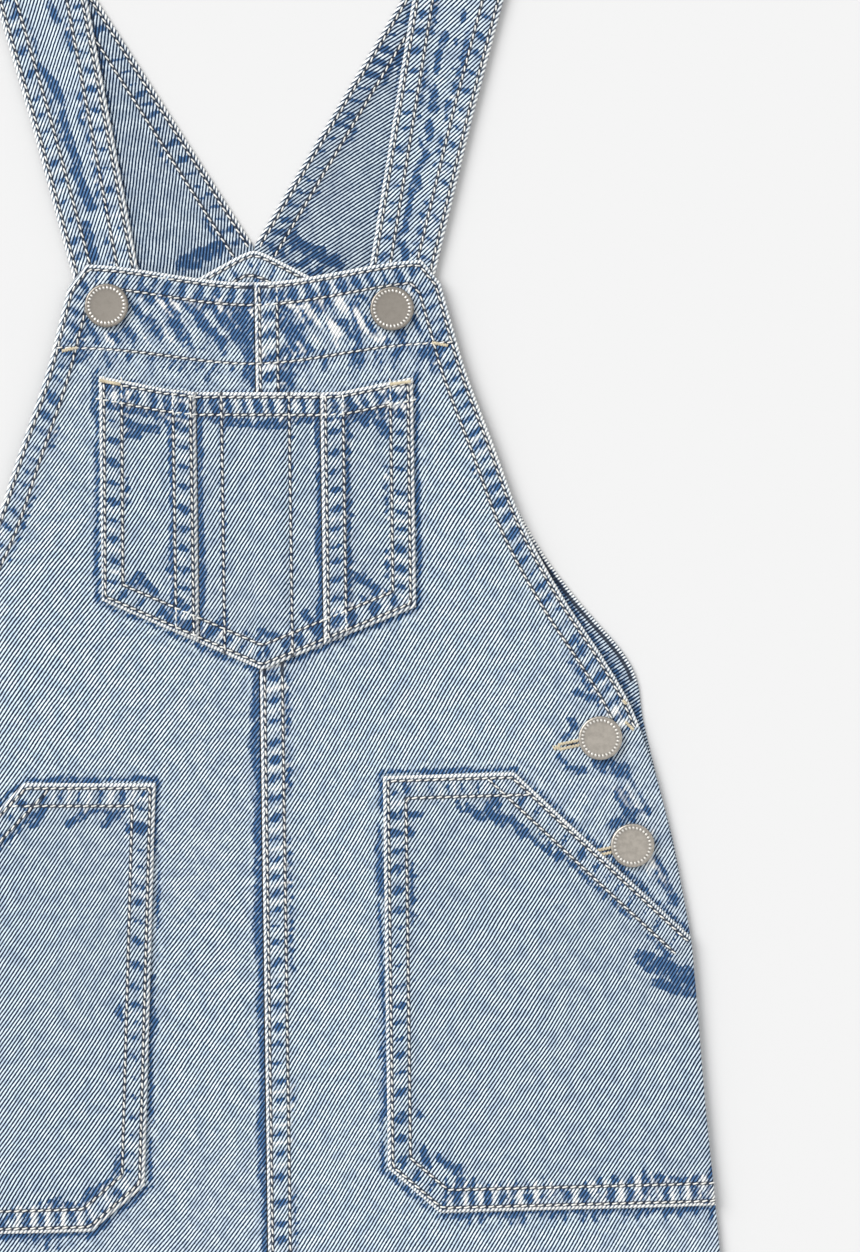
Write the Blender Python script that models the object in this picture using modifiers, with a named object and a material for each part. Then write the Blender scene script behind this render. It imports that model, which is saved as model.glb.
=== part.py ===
"""A child's denim shortalls, laid flat on its back with the front up.

Metres, +Z up. +Y runs from the hems to the shoulders and +X to the right of the picture. The
origin is on the ground under the middle of the garment. Every panel is a wall of cloth: a sheet
worked out from its outline and from one height function, then thickened.
"""

import math

import bmesh
import bpy
import numpy as np

MM = 0.001

# Driving sizes, in millimetres
LENGTH = 600.0                   # shoulder fold to hem
HEM_HALF_WIDTH = 180.0
BODY_RISE = 378.7                # crotch to the dip of the bib
INSEAM = 80.0
LEG_PART = 7.0                   # half the gap between the legs at the hem
LEG_CURVE = 1.3                  # how late the legs part, as a power
CLOTH = 1.2                      # wall of one layer of denim
STRAP_CLOTH = 1.4                # strap with its turned hems
FACING_CLOTH = 1.0
SEAM_GAP = 0.3
LAY_GAP = 0.35                   # between a panel and what is sewn on it

# Heights of the undersides over the ground
STRAP_REST = 1.7
BIB_REST = 3.5
BODY_REST = 3.0
SIDE_REST = CLOTH + SEAM_GAP
SIDE_ROLL = 24.0                 # width over which the front rolls down to its side seam
ROLL_SHARE = 0.98                # how much of a quarter circle the roll takes
ROLL_COLUMN = 0.965              # share of a front's width where the roll is steepest
BIB_EASE = (70.0, 126.0)         # heights up the garment between which the bib lifts
SIDE_CLOSE = (12.0, -48.0)       # heights between which the open side closes to its seam

# Shoulder fold of a strap
FOLD_RADIUS = 1.05
FOLD_TURN = math.radians(19.0)   # the fold faces up and this much outwards
FOLD_RETURN = 7.0                # the strap goes on this far underneath, to its join

# Shank buttons
BUTTON_RADIUS = 8.5
BUTTON_HEIGHT = 2.5
SHANK_RADIUS = 2.0
EYE_RADIUS = 2.5                 # hole for the shank in the front
EYE_DEPTH = 20.0                 # length of the cutter for that hole
BUTTON_STEPS, EYE_SIDES = 22, 14
# Section of a cap from its middle outwards: share of the radius, and depth under its top
BUTTON_SECTION = {
    "share": (0.0, 0.68, 0.74, 0.80, 0.90, 1.0, 0.98, 0.90),
    "depth": (0.1, 0.25, 0.45, 0.15, 0.3, 1.1, 2.05, BUTTON_HEIGHT),
}

HEM = -LENGTH / 2
TOP = LENGTH / 2
CROTCH = HEM + INSEAM
BIB_DIP = CROTCH + BODY_RISE
V_POINT = 173.2
V_SLOPE = 0.617                  # sideways run of the neck edge for each millimetre up
BIB_CORNER = (64.8, 166.6)       # end of the bib's top edge, before its cut corner
BIB_CURVE = 0.95                 # share of the full curve from the dip to the corner

# Facing inside the point of the V
FACING_HALF_WIDTH = 38.0
FACING_FOOT = 142.2
FACING_TOP = 171.2
FACING_SLOPE = 0.55              # fall of its upper edges from the point
FACING_POINT = 3.0               # radius of the rounding at the point
FACING_FOOT_ARC = 5.0
FACING_END = 0.03                # keeps its ends from closing to a line

# Half width of the front at each height, hem to bib
FRONT_OUTLINE = {
    "height": (HEM, -218.0, -160.0, -111.0, -97.0, -63.0, -34.0, -5.0,
               15.0, 34.0, 63.0, 95.0, 125.0, 141.0, 157.5),
    "half": (HEM_HALF_WIDTH, 174.8, 169.8, 166.4, 165.2, 159.2, 152.6, 142.4,
             130.9, 118.6, 103.2, 91.6, 80.8, 76.4, 72.0),
}

# Half width of the back and its strap at each height, hem to shoulder
BACK_OUTLINE = {
    "height": (HEM, -218.0, -160.0, -111.0, -63.0, -34.0, -10.0, 1.0, 7.0,
               15.0, 24.5, 34.0, 50.0, 70.0, 95.0, 120.0, 145.0, 174.0, 220.0, 262.0, 300.0),
    "half": (HEM_HALF_WIDTH, 174.8, 169.8, 166.4, 159.7, 152.9, 147.7, 146.4, 144.6,
             139.8, 131.8, 123.8, 112.0, 100.5, 89.0, 79.0, 71.0, 66.0, 76.0, 90.0, 106.0),
}

# Front strap edges: distance from the middle at each height
STRAP_OUTLINE = {
    "height": (134.0, 166.0, 220.0, 267.0, 300.0),
    "inner": (39.5, 45.0, 54.4, 62.6, 68.6),
    "outer": (63.5, 71.2, 85.0, 98.0, 107.4),
}

# Corners of the bib pocket, left to right along its mouth and along its foot
BIB_MOUTH = {
    "across": (-60.3, -35.0, -23.0, 25.0, 33.0, 60.9),
    "height": (123.4, 118.2, 116.6, 115.8, 116.0, 121.2),
}
BIB_FOOT = {
    "across": (-61.0, 1.0, 60.8),
    "height": (36.9, 9.0, 32.5),
}
BIB_SEAMS = (-23.0, 25.0)        # folded edges where the side pieces lap the middle one
LAP_RISE = 0.6                   # extra height of a felled lap
LAP_EASE = (15.5, 9.5)           # distances from its folded edge between which it falls
LAP_COLUMNS = (0.68, 0.84)       # shares of a side piece's width where its lap is bent

HIP_COLUMNS = (0.158, 0.492)     # shares of a hip pocket's width at its foot and mouth corners
# Corners of each hip pocket as it lies: distance from the middle, and height
HIP_POCKETS = {
    "right": {
        "mouth_across": (47.0, 97.8, 200.0),
        "mouth_height": (-32.6, -31.8, -129.9),
        "foot_across": (46.9, 66.8, 200.0),
        "foot_height": (-184.1, -201.4, -199.6),
        "inner_height": (-184.1, -32.6),
        "inner_across": (46.9, 47.1),
    },
    "left": {
        "mouth_across": (40.6, 91.6, 200.0),
        "mouth_height": (-34.1, -33.4, -145.0),
        "foot_across": (47.0, 67.8, 200.0),
        "foot_height": (-189.4, -206.8, -208.4),
        "inner_height": (-189.4, -34.1),
        "inner_across": (47.0, 40.6),
    },
}

# Buttons: distance to the right of the middle, and height
BUTTONS = {
    "name": ("bib_button_left", "bib_button_right",
             "side_button_left_upper", "side_button_right_upper",
             "side_button_left_lower", "side_button_right_lower"),
    "across": (-56.9, 53.2, -131.2, 131.2, -143.0, 143.0),
    "height": (150.4, 147.7, -19.1, -19.1, -60.7, -60.7),
}

# Soft folds of the front, right side first: two ends, rise and half width
FOLDS = {
    "from_x": (128.0, 122.0, 70.0, 128.0, -120.0, -126.0, -74.0, -134.0, 12.0, -30.0),
    "from_y": (8.0, -28.0, -292.0, -296.0, 2.0, -34.0, -296.0, -290.0, -236.0, -20.0),
    "to_x": (88.0, 152.0, 84.0, 138.0, -84.0, -156.0, -80.0, -136.0, 60.0, -96.0),
    "to_y": (46.0, -84.0, -226.0, -222.0, 52.0, -92.0, -216.0, -228.0, -212.0, 6.0),
    "rise": (0.9, 0.8, 1.1, 0.9, 0.8, 0.9, 0.9, 1.1, 0.7, 0.5),
    "half_width": (20.0, 22.0, 24.0, 22.0, 20.0, 22.0, 22.0, 24.0, 20.0, 24.0),
}

SETTLE_ROUNDS = 40               # repeats that bring a slanted row's ends onto both its edges

DENIM = (0.35, 0.43, 0.50)
POCKET_DENIM = (0.33, 0.40, 0.47)
STRAP_DENIM = (0.26, 0.33, 0.40)
NICKEL = (0.47, 0.44, 0.40)


def smooth_step(value):
    """0 below 0, 1 above 1, and a smooth rise between."""
    t = np.clip(value, 0.0, 1.0)
    return t * t * (3.0 - 2.0 * t)


def between(span, value):
    """A smooth rise from 0 at the start of the span to 1 at its end."""
    return smooth_step((value - span[0]) / (span[1] - span[0]))


def curve_through(xs, ys, at):
    """A cubic through the points of a table, with the mean slope of its neighbours at each."""
    xs = np.asarray(xs, float)
    ys = np.asarray(ys, float)
    steps = np.diff(ys) / np.diff(xs)
    slopes = np.empty(len(xs))
    slopes[0] = steps[0]
    slopes[-1] = steps[-1]
    slopes[1:-1] = (steps[:-1] + steps[1:]) / 2
    at = np.clip(at, xs[0], xs[-1])
    i = np.clip(np.searchsorted(xs, at, side="right") - 1, 0, len(xs) - 2)
    width = xs[i + 1] - xs[i]
    t = (at - xs[i]) / width
    return (ys[i] * (2 * t**3 - 3 * t**2 + 1) + ys[i + 1] * (3 * t**2 - 2 * t**3)
            + width * slopes[i] * (t**3 - 2 * t**2 + t) + width * slopes[i + 1] * (t**3 - t**2))


def front_side(y):
    return curve_through(FRONT_OUTLINE["height"], FRONT_OUTLINE["half"], y)


def back_side(y):
    return curve_through(BACK_OUTLINE["height"], BACK_OUTLINE["half"], y)


def inseam(y):
    """Distance from the middle to the inner edge: the centre seam, and the inseam below it."""
    return SEAM_GAP / 2 + LEG_PART * np.clip((CROTCH - y) / INSEAM, 0.0, 1.0) ** LEG_CURVE


def neck_edge(y):
    """Inner edge of the back: its centre seam, and above the V the inside of the strap."""
    return np.maximum(inseam(y), SEAM_GAP / 2 + V_SLOPE * (y - V_POINT))


def bib_top(x):
    """The bib's top edge: a dip in the middle, a rise to each corner, and the cut corner."""
    x = np.abs(x)
    corner_x, corner_y = BIB_CORNER
    end_x, end_y = FRONT_OUTLINE["half"][-1], FRONT_OUTLINE["height"][-1]
    share = smooth_step(BIB_CURVE * x / corner_x) / smooth_step(BIB_CURVE)
    rise = BIB_DIP + (corner_y - BIB_DIP) * share
    cut = corner_y + (end_y - corner_y) * (x - corner_x) / (end_x - corner_x)
    return np.where(x < corner_x, rise, cut)


def fold_rise(x, y):
    """Each soft fold is a rounded ridge along a short line, fading at its ends."""
    total = np.zeros(np.broadcast(x, y).shape)
    for row in zip(*FOLDS.values()):
        start_x, start_y, end_x, end_y, rise, half_width = row
        along_x, along_y = end_x - start_x, end_y - start_y
        span = along_x**2 + along_y**2
        t = np.clip(((x - start_x) * along_x + (y - start_y) * along_y) / span, 0.0, 1.0)
        away = np.hypot(x - start_x - t * along_x, y - start_y - t * along_y)
        total = total + rise * np.exp(-(away / half_width) ** 2)
    return total


def front_height(x, y):
    """Underside of the front: high over the strap ends, level in the body, down at the sides."""
    over_straps = between(BIB_EASE, y)
    level = BODY_REST + (BIB_REST - BODY_REST) * over_straps
    to_side = np.clip((front_side(y) - np.abs(x)) / SIDE_ROLL, 0.0, 1.0)
    bend = 1.0 - np.sqrt(1.0 - ROLL_SHARE * (1.0 - to_side) ** 2)
    full_bend = 1.0 - math.sqrt(1.0 - ROLL_SHARE)
    drop = (level - SIDE_REST) * between(SIDE_CLOSE, y) * bend / full_bend
    calm = smooth_step(to_side) * (1.0 - over_straps)
    return level - drop + fold_rise(x, y) * calm


def sheet_points(inner, outer, low, high, columns, rows):
    """A ruled sheet: rows run from the low edge to the high one, columns from inner to outer."""
    u, w = np.meshgrid(columns, rows)
    foot, head = np.full(u.shape, low(0.0)), np.full(u.shape, high(0.0))
    for _ in range(SETTLE_ROUNDS):
        foot = low(inner(foot) + u * (outer(foot) - inner(foot)))
        head = high(inner(head) + u * (outer(head) - inner(head)))
    y = foot + w * (head - foot)
    return inner(y) + u * (outer(y) - inner(y)), y


def material(name, colour, roughness, metallic):
    made = bpy.data.materials.new(name)
    made.use_nodes = True
    shader = made.node_tree.nodes["Principled BSDF"]
    shader.inputs["Base Color"].default_value = (*colour, 1.0)
    shader.inputs["Roughness"].default_value = roughness
    shader.inputs["Metallic"].default_value = metallic
    return made


def add_object(name, mesh, finish):
    piece = bpy.data.objects.new(name, mesh)
    bpy.data.collections["shortalls"].objects.link(piece)
    mesh.materials.append(finish)
    mesh.shade_smooth()
    mesh.set_sharp_from_angle(angle=math.radians(40))
    return piece


def cloth_sheet(name, x, y, z, wall, finish):
    """A grid of points in millimetres made an open surface, thickened on its upper side."""
    rows, columns = x.shape
    points = np.stack([x, y, z], axis=-1).reshape(-1, 3) * MM
    corner = np.arange(rows * columns).reshape(rows, columns)
    quads = np.stack([corner[:-1, :-1], corner[:-1, 1:], corner[1:, 1:], corner[1:, :-1]], axis=-1)
    quads = quads.reshape(-1, 4)
    if x[0, -1] < x[0, 0]:
        quads = quads[:, ::-1]
    mesh = bpy.data.meshes.new(name)
    mesh.from_pydata(points.tolist(), [], quads.tolist())
    mesh.update()
    piece = add_object(name, mesh, finish)
    shell = piece.modifiers.new("Cloth", "SOLIDIFY")
    shell.thickness = wall * MM
    shell.offset = 1.0
    shell.use_even_offset = True
    return piece


def even(count, *marks):
    """Even fractions from 0 to 1, the nearest one moved onto each mark."""
    values = np.linspace(0.0, 1.0, count + 1)
    for mark in marks:
        values[1 + np.argmin(np.abs(values[1:-1] - mark))] = mark
    return values


def make_fronts(finish):
    crotch_row = INSEAM / (INSEAM + BODY_RISE)
    corner_column = BIB_CORNER[0] / FRONT_OUTLINE["half"][-1]
    for name, side in (("front_left", -1), ("front_right", 1)):
        x, y = sheet_points(inseam, front_side, lambda x: HEM + 0 * x, bib_top,
                            even(16, corner_column, ROLL_COLUMN), even(42, crotch_row))
        cloth_sheet(name, side * x, y, front_height(side * x, y), CLOTH, finish)


def fold_line():
    """Inner and outer corner of a strap's shoulder fold, and the way the fold faces."""
    facing = np.array([math.sin(FOLD_TURN), math.cos(FOLD_TURN)])
    reach = FOLD_RADIUS + STRAP_CLOTH / 2
    inner_y = TOP - reach * facing[1]
    inner_x = np.interp(inner_y, STRAP_OUTLINE["height"], STRAP_OUTLINE["inner"])
    outer = (np.array(STRAP_OUTLINE["outer"]), np.array(STRAP_OUTLINE["height"]))
    beyond = (outer[0] - inner_x) * facing[0] + (outer[1] - inner_y) * facing[1]
    outer_x, outer_y = (float(np.interp(0.0, beyond, values)) for values in outer)
    return np.array([inner_x, inner_y]), np.array([outer_x, outer_y]), facing


def back_head(x):
    """Top edge of the back's strap: the join, parallel to the fold and just short of it."""
    inner, _, facing = fold_line()
    return inner[1] - ((x - inner[0]) * facing[0] + FOLD_RETURN + SEAM_GAP) / facing[1]


def make_backs(finish):
    crotch_row = INSEAM / (V_POINT - HEM)
    for name, side in (("back_left", -1), ("back_right", 1)):
        body_x, body_y = sheet_points(inseam, back_side, lambda x: HEM + 0 * x,
                                      lambda x: V_POINT + 0 * x, even(9), even(30, crotch_row))
        strap_x, strap_y = sheet_points(neck_edge, back_side, lambda x: V_POINT + 0 * x,
                                        back_head, even(9), even(9))
        x = np.concatenate([body_x, strap_x[1:]])
        y = np.concatenate([body_y, strap_y[1:]])
        cloth_sheet(name, side * x, y, 0 * x, CLOTH, finish)


def make_straps(finish):
    """Each strap is a run in front, a half turn round the fold, and a short run underneath."""
    inner, outer, facing = fold_line()
    columns = even(5)[None, :, None]
    fold = inner + columns * (outer - inner)
    low_y = STRAP_OUTLINE["height"][0]
    runs, heights = [], []
    for share in np.linspace(0.0, 1.0, 19)[:-1]:
        ends = []
        for edge, corner in (("inner", inner), ("outer", outer)):
            y = low_y + share * (corner[1] - low_y)
            ends.append((np.interp(y, STRAP_OUTLINE["height"], STRAP_OUTLINE[edge]), y))
        ends = np.array(ends)
        runs.append(ends[0] + columns[0] * (ends[1] - ends[0]))
        heights.append(STRAP_REST + STRAP_CLOTH / 2)
    turn_middle = STRAP_CLOTH / 2 + FOLD_RADIUS
    for angle in np.linspace(math.pi / 2, -math.pi / 2, 7):
        runs.append(fold[0] + FOLD_RADIUS * math.cos(angle) * facing)
        heights.append(turn_middle + FOLD_RADIUS * math.sin(angle))
    inner_way = np.array([V_SLOPE, 1.0]) / math.hypot(V_SLOPE, 1.0)
    for share in (0.5, 1.0):
        way = inner_way + columns[0] * (facing - inner_way)
        runs.append(fold[0] - share * FOLD_RETURN * way / (way @ facing)[:, None])
        heights.append(STRAP_CLOTH / 2)
    points = np.array(runs)
    x, y = points[..., 0], points[..., 1]
    z = np.array(heights)[:, None] + 0 * x
    for name, side in (("strap_left", -1), ("strap_right", 1)):
        strap = cloth_sheet(name, side * x, y, z, STRAP_CLOTH, finish)
        strap.modifiers["Cloth"].offset = 0.0


def make_neck_facing(finish):
    """A low piece on the inside of the back: a blunt point above, a flat arc below."""
    across = np.linspace(-1.0, 1.0, 17) * FACING_HALF_WIDTH
    bow = np.sqrt(np.clip(1.0 - (across / FACING_HALF_WIDTH) ** 2, FACING_END, 1.0))
    low = FACING_FOOT + FACING_FOOT_ARC * (1.0 - bow)
    high = FACING_TOP - FACING_SLOPE * (np.hypot(across, FACING_POINT) - FACING_POINT)
    y = low + even(3)[:, None] * (high - low)
    x = across + 0 * y
    cloth_sheet("neck_facing", x, y, CLOTH + SEAM_GAP + 0 * x, FACING_CLOTH, finish)


def on_front(x, y):
    """Underside of a piece that is sewn on the front."""
    return front_height(x, y) + CLOTH + LAY_GAP


def make_bib_pocket(finish):
    left, right = BIB_SEAMS

    def outline(table):
        return lambda x: np.interp(x, table["across"], table["height"])

    pieces = (
        ("bib_pocket_left", BIB_MOUTH["across"][0], left, even(8, *LAP_COLUMNS)),
        ("bib_pocket_middle", left + SEAM_GAP, right - SEAM_GAP, even(7)),
        ("bib_pocket_right", right, BIB_MOUTH["across"][-1], 1.0 - even(8, *LAP_COLUMNS)[::-1]),
    )
    for name, start, end, columns in pieces:
        x, y = sheet_points(lambda y: start + 0 * y, lambda y: end + 0 * y,
                            outline(BIB_FOOT), outline(BIB_MOUTH), columns, even(12))
        z = on_front(x, y)
        if name != "bib_pocket_middle":
            seam = left if name == "bib_pocket_left" else right
            z = z + LAP_RISE * between(LAP_EASE, np.abs(x - seam))
        cloth_sheet(name, x, y, z, CLOTH, finish)


def make_hip_pockets(finish):
    for name, side in (("left", -1), ("right", 1)):
        table = HIP_POCKETS[name]
        x, y = sheet_points(
            lambda y: np.interp(y, table["inner_height"], table["inner_across"]),
            lambda y: front_side(y),
            lambda x: np.interp(x, table["foot_across"], table["foot_height"]),
            lambda x: np.interp(x, table["mouth_across"], table["mouth_height"]),
            even(14, *HIP_COLUMNS), even(14))
        cloth_sheet(f"hip_pocket_{name}", side * x, y, on_front(side * x, y), CLOTH, finish)


def button_profile(shank):
    """Half section of a shank button, from the middle of its face round to its shank's end."""
    cap = [(share * BUTTON_RADIUS, BUTTON_HEIGHT - depth)
           for share, depth in zip(*BUTTON_SECTION.values())]
    return cap + [(SHANK_RADIUS, 0.0), (SHANK_RADIUS, -shank), (0.0, -shank)]


def make_buttons(finish):
    """Each button rests on the front, and its shank goes through to the cloth that holds it."""
    cutters = bpy.data.collections["cutters"]
    for name, x, y in zip(*BUTTONS.values()):
        under_cap = float(front_height(x, y)) + CLOTH + SEAM_GAP
        holder = STRAP_REST + STRAP_CLOTH if name.startswith("bib") else CLOTH
        shank = under_cap - holder - SEAM_GAP
        mesh = bpy.data.meshes.new(name)
        points = [(r * MM, 0.0, z * MM) for r, z in button_profile(shank)]
        mesh.from_pydata(points, [(i, i + 1) for i in range(len(points) - 1)], [])
        button = add_object(name, mesh, finish)
        turn = button.modifiers.new("Turn", "SCREW")
        turn.steps = turn.render_steps = BUTTON_STEPS
        turn.use_merge_vertices = True
        turn.merge_threshold = 0.00001
        turn.use_smooth_shade = True
        button.location = (x * MM, y * MM, under_cap * MM)

        eye = bpy.data.meshes.new(f"eye_{name}")
        shape = bmesh.new()
        bmesh.ops.create_cone(shape, cap_ends=True, segments=EYE_SIDES, radius1=EYE_RADIUS * MM,
                              radius2=EYE_RADIUS * MM, depth=EYE_DEPTH * MM)
        shape.to_mesh(eye)
        shape.free()
        cutter = bpy.data.objects.new(eye.name, eye)
        cutters.objects.link(cutter)
        cutter.location = (x * MM, y * MM, under_cap * MM)
        cutter.hide_render = True
        cutter.display_type = "WIRE"
        front = bpy.data.objects["front_left" if x < 0 else "front_right"]
        cut = front.modifiers.new(f"Eye {name}", "BOOLEAN")
        cut.object = cutter
        cut.operation = "DIFFERENCE"
        cut.solver = "EXACT"


def main():
    for old in list(bpy.data.objects):
        bpy.data.objects.remove(old)
    for name in ("shortalls", "cutters"):
        bpy.context.scene.collection.children.link(bpy.data.collections.new(name))
    denim = material("denim", DENIM, 0.9, 0.0)
    pocket_denim = material("pocket_denim", POCKET_DENIM, 0.9, 0.0)
    strap_denim = material("strap_denim", STRAP_DENIM, 0.9, 0.0)
    nickel = material("nickel", NICKEL, 0.35, 1.0)
    make_backs(denim)
    make_neck_facing(pocket_denim)
    make_straps(strap_denim)
    make_fronts(denim)
    make_bib_pocket(pocket_denim)
    make_hip_pockets(pocket_denim)
    make_buttons(nickel)


main()
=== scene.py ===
"""A child's washed denim shortalls, laid flat on a pale studio table.

The file is laid out as an add-on: sizes and colours are properties, each group of pieces has an
operator, and one panel lists them. Shapes are worked out in millimetres and put into the meshes in
metres. +Y runs up the garment, +X to the right of the picture, +Z out of the cloth.
"""
import math
from functools import partial
from types import SimpleNamespace

import bpy
import numpy as np
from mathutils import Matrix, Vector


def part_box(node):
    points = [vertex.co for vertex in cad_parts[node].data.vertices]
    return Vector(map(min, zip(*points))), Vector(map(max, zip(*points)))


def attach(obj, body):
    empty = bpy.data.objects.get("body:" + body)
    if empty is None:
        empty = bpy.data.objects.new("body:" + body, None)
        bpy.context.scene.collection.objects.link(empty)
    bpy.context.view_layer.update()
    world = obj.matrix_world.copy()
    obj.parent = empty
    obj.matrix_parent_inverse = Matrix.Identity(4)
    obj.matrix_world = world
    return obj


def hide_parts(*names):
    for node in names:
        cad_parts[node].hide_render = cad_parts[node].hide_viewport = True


bl_info = {
    "name": "Denim shortalls",
    "version": (1, 0, 0),
    "blender": (4, 5, 0),
    "location": "3D View > Sidebar > Shortalls",
    "description": "Builds a child's washed denim shortalls laid flat, with sewing and buttons",
    "category": "Object",
}

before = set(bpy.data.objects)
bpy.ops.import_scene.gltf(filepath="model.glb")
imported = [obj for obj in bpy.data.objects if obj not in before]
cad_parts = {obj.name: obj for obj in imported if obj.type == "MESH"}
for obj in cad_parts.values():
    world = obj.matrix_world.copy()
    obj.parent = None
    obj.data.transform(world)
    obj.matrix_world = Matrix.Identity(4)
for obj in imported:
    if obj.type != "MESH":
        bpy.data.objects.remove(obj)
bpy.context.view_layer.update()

MM = 0.001
FAR = 50.0                       # a distance that no seam reaches
LEAN = 0.20                      # how much each stitch leans across its row, as a slope
SIDES = {"left": -1, "right": 1}
NAMES = {side: name for name, side in SIDES.items()}

# The garment's outline, as the frame's panels have it
HEM, CROTCH, INSEAM, LEG_PART = -300.0, -220.0, 80.0, 7.0
BIB_DIP, V_POINT, V_SLOPE = 158.7, 173.2, 0.617
BIB_CORNER, BIB_CURVE = (64.8, 166.6), 0.95
FACING_HALF, FACING_TOP, FACING_SLOPE, FACING_POINT = 38.0, 171.2, 0.55, 3.0
FACING_FOOT, FACING_FOOT_ARC = 142.2, 5.0
FACING_ARC = ((-12.0, 156.4), (-6.8, 159.8), (-3.8, 161.3), (-0.4, 161.6), (3.9, 160.0),
              (10.0, 156.6))
SEAM_GAP, LAY_GAP = 0.3, 0.35
STRAP_REST, BIB_REST, BODY_REST, SIDE_REST = 1.7, 3.5, 3.0, 1.5
SIDE_ROLL, ROLL_SHARE = 24.0, 0.98
BIB_EASE, SIDE_CLOSE = (70.0, 126.0), (12.0, -48.0)
FRONT_OUTLINE = {
    "height": (HEM, -218.0, -160.0, -111.0, -97.0, -63.0, -34.0, -5.0,
               15.0, 34.0, 63.0, 95.0, 125.0, 141.0, 157.5),
    "half": (180.0, 174.8, 169.8, 166.4, 165.2, 159.2, 152.6, 142.4,
             130.9, 118.6, 103.2, 91.6, 80.8, 76.4, 72.0),
}
BACK_OUTLINE = {
    "height": (HEM, -218.0, -160.0, -111.0, -63.0, -34.0, -10.0, 1.0, 7.0,
               15.0, 24.5, 34.0, 50.0, 70.0, 95.0, 120.0, 145.0, 174.0, 220.0, 262.0, 300.0),
    "half": (180.0, 174.8, 169.8, 166.4, 159.7, 152.9, 147.7, 146.4, 144.6,
             139.8, 131.8, 123.8, 112.0, 100.5, 89.0, 79.0, 71.0, 66.0, 76.0, 90.0, 106.0),
}
STRAP_OUTLINE = {
    "height": (134.0, 166.0, 220.0, 267.0, 300.0),
    "inner": (39.5, 45.0, 54.4, 62.6, 68.6),
    "outer": (63.5, 71.2, 85.0, 98.0, 107.4),
}
FOLD_RADIUS, FOLD_TURN, FOLD_RETURN, TOP = 1.05, math.radians(19.0), 7.0, 300.0
STRAP_WALL, FACING_WALL = 1.4, 1.0
FOLDS = {
    "from_x": (128.0, 122.0, 70.0, 128.0, -120.0, -126.0, -74.0, -134.0, 12.0, -30.0),
    "from_y": (8.0, -28.0, -292.0, -296.0, 2.0, -34.0, -296.0, -290.0, -236.0, -20.0),
    "to_x": (88.0, 152.0, 84.0, 138.0, -84.0, -156.0, -80.0, -136.0, 60.0, -96.0),
    "to_y": (46.0, -84.0, -226.0, -222.0, 52.0, -92.0, -216.0, -228.0, -212.0, 6.0),
    "rise": (0.9, 0.8, 1.1, 0.9, 0.8, 0.9, 0.9, 1.1, 0.7, 0.5),
    "half_width": (20.0, 22.0, 24.0, 22.0, 20.0, 22.0, 22.0, 24.0, 20.0, 24.0),
}

# Pocket corners
BIB_MOUTH = {
    "across": (-60.3, -35.0, -23.0, 25.0, 33.0, 60.9),
    "height": (123.4, 118.2, 116.6, 115.8, 116.0, 121.2),
}
BIB_FOOT = {"across": (-61.0, 1.0, 60.8), "height": (36.9, 9.0, 32.5)}
BIB_SEAMS = (-23.0, 25.0)        # folded edges of the pocket's side pieces
PEN_ROWS = (-13.2, 12.9)         # rows that part the pocket's middle
LAP_RISE, LAP_WIDTH = 0.6, 9.6
HIP_CORNERS = {
    "right": {"across": (173.5, 66.8, 46.9, 47.1, 97.8, 165.6),
              "height": (-200.3, -201.4, -184.1, -32.6, -31.8, -96.9)},
    "left": {"across": (173.5, 67.8, 47.0, 40.6, 91.6, 163.0),
             "height": (-208.2, -206.8, -189.4, -34.1, -33.4, -107.0)},
}

# Buttons: their places, and the section of a face from its middle outwards, with the ring of
# ticks that it carries
BUTTONS = {
    "name": ("bib_button_left", "bib_button_right",
             "side_button_left_upper", "side_button_right_upper",
             "side_button_left_lower", "side_button_right_lower"),
    "across": (-56.9, 53.2, -131.2, 131.2, -143.0, 143.0),
    "height": (150.4, 147.7, -19.1, -19.1, -60.7, -60.7),
}
BUTTON_FACE = {
    "across": (0.0, 1.2, 3.0, 4.8, 5.7, 6.1, 6.4, 6.7, 7.0, 7.25, 7.5),
    "depth": (0.36, 0.36, 0.35, 0.33, 0.31, 0.30, 0.30, 0.30, 0.30, 0.29, 0.26),
}
BUTTON_EDGE = 0.75               # radius of a button's round edge
BUTTON_STEPS, TICK_STEPS = 180, 6        # points round a button, and from tick to tick
TICK_RING, RING_HALF = 6.85, 0.8         # radius and half width of the ring
TICK_RISE, TICK_HALF = 0.18, 0.42        # height and half length of a tick

# Bar tacks, each with its two ends: on the bib pocket, and on each side of the fronts
BIB_POCKET_TACKS = {
    "from_x": (-60.0, 52.0), "from_y": (121.6, 118.4),
    "to_x": (-52.0, 60.0), "to_y": (119.9, 119.4),
}
FRONT_TACKS = {
    "from_x": (68.5, 141.0, 140.2), "from_y": (134.4, -13.0, -4.6),
    "to_x": (74.5, 144.2, 141.6), "to_y": (133.2, -16.2, -6.2),
}

# Threads: how far the middle of a row lies over the cloth, and the radii of the heavier ones
ROW_LIFT, BIB_ROW_LIFT, CROSSING_LIFT, FLAT_ROW_LIFT, TACK_LIFT = 0.12, 0.25, 0.2, 0.1, 0.3
TACK_THREAD, BUTTONHOLE_THREAD = 0.3, 0.28
ROW_SPACING = 0.8                # between the points of a row

# Stage
VIEW_PLACE, VIEW_TURN = (0.0661, 0.02505, 0.004), -math.atan2(14.0, 995.0)  # metres, radians
SENSOR = 36.0                    # width of the camera's film
KEY_TURN, KEY_SPREAD = (0.0, -48.0, -38.0), 40.0         # the slanting light's, in degrees
TABLE_SIZE, TABLE_DROP = 6.0, 0.0002     # metres

# Linear colours of a button's sunken ring, of the painted dimmer reflection over the whole
# # face of the bib buttons, and of its ticks
NICKEL_RING, NICKEL_SHADE = (0.05, 0.045, 0.04, 1.0), (0.12, 0.105, 0.09, 1.0)
NICKEL_TICK = (0.95, 0.93, 0.88, 1.0)

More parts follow.
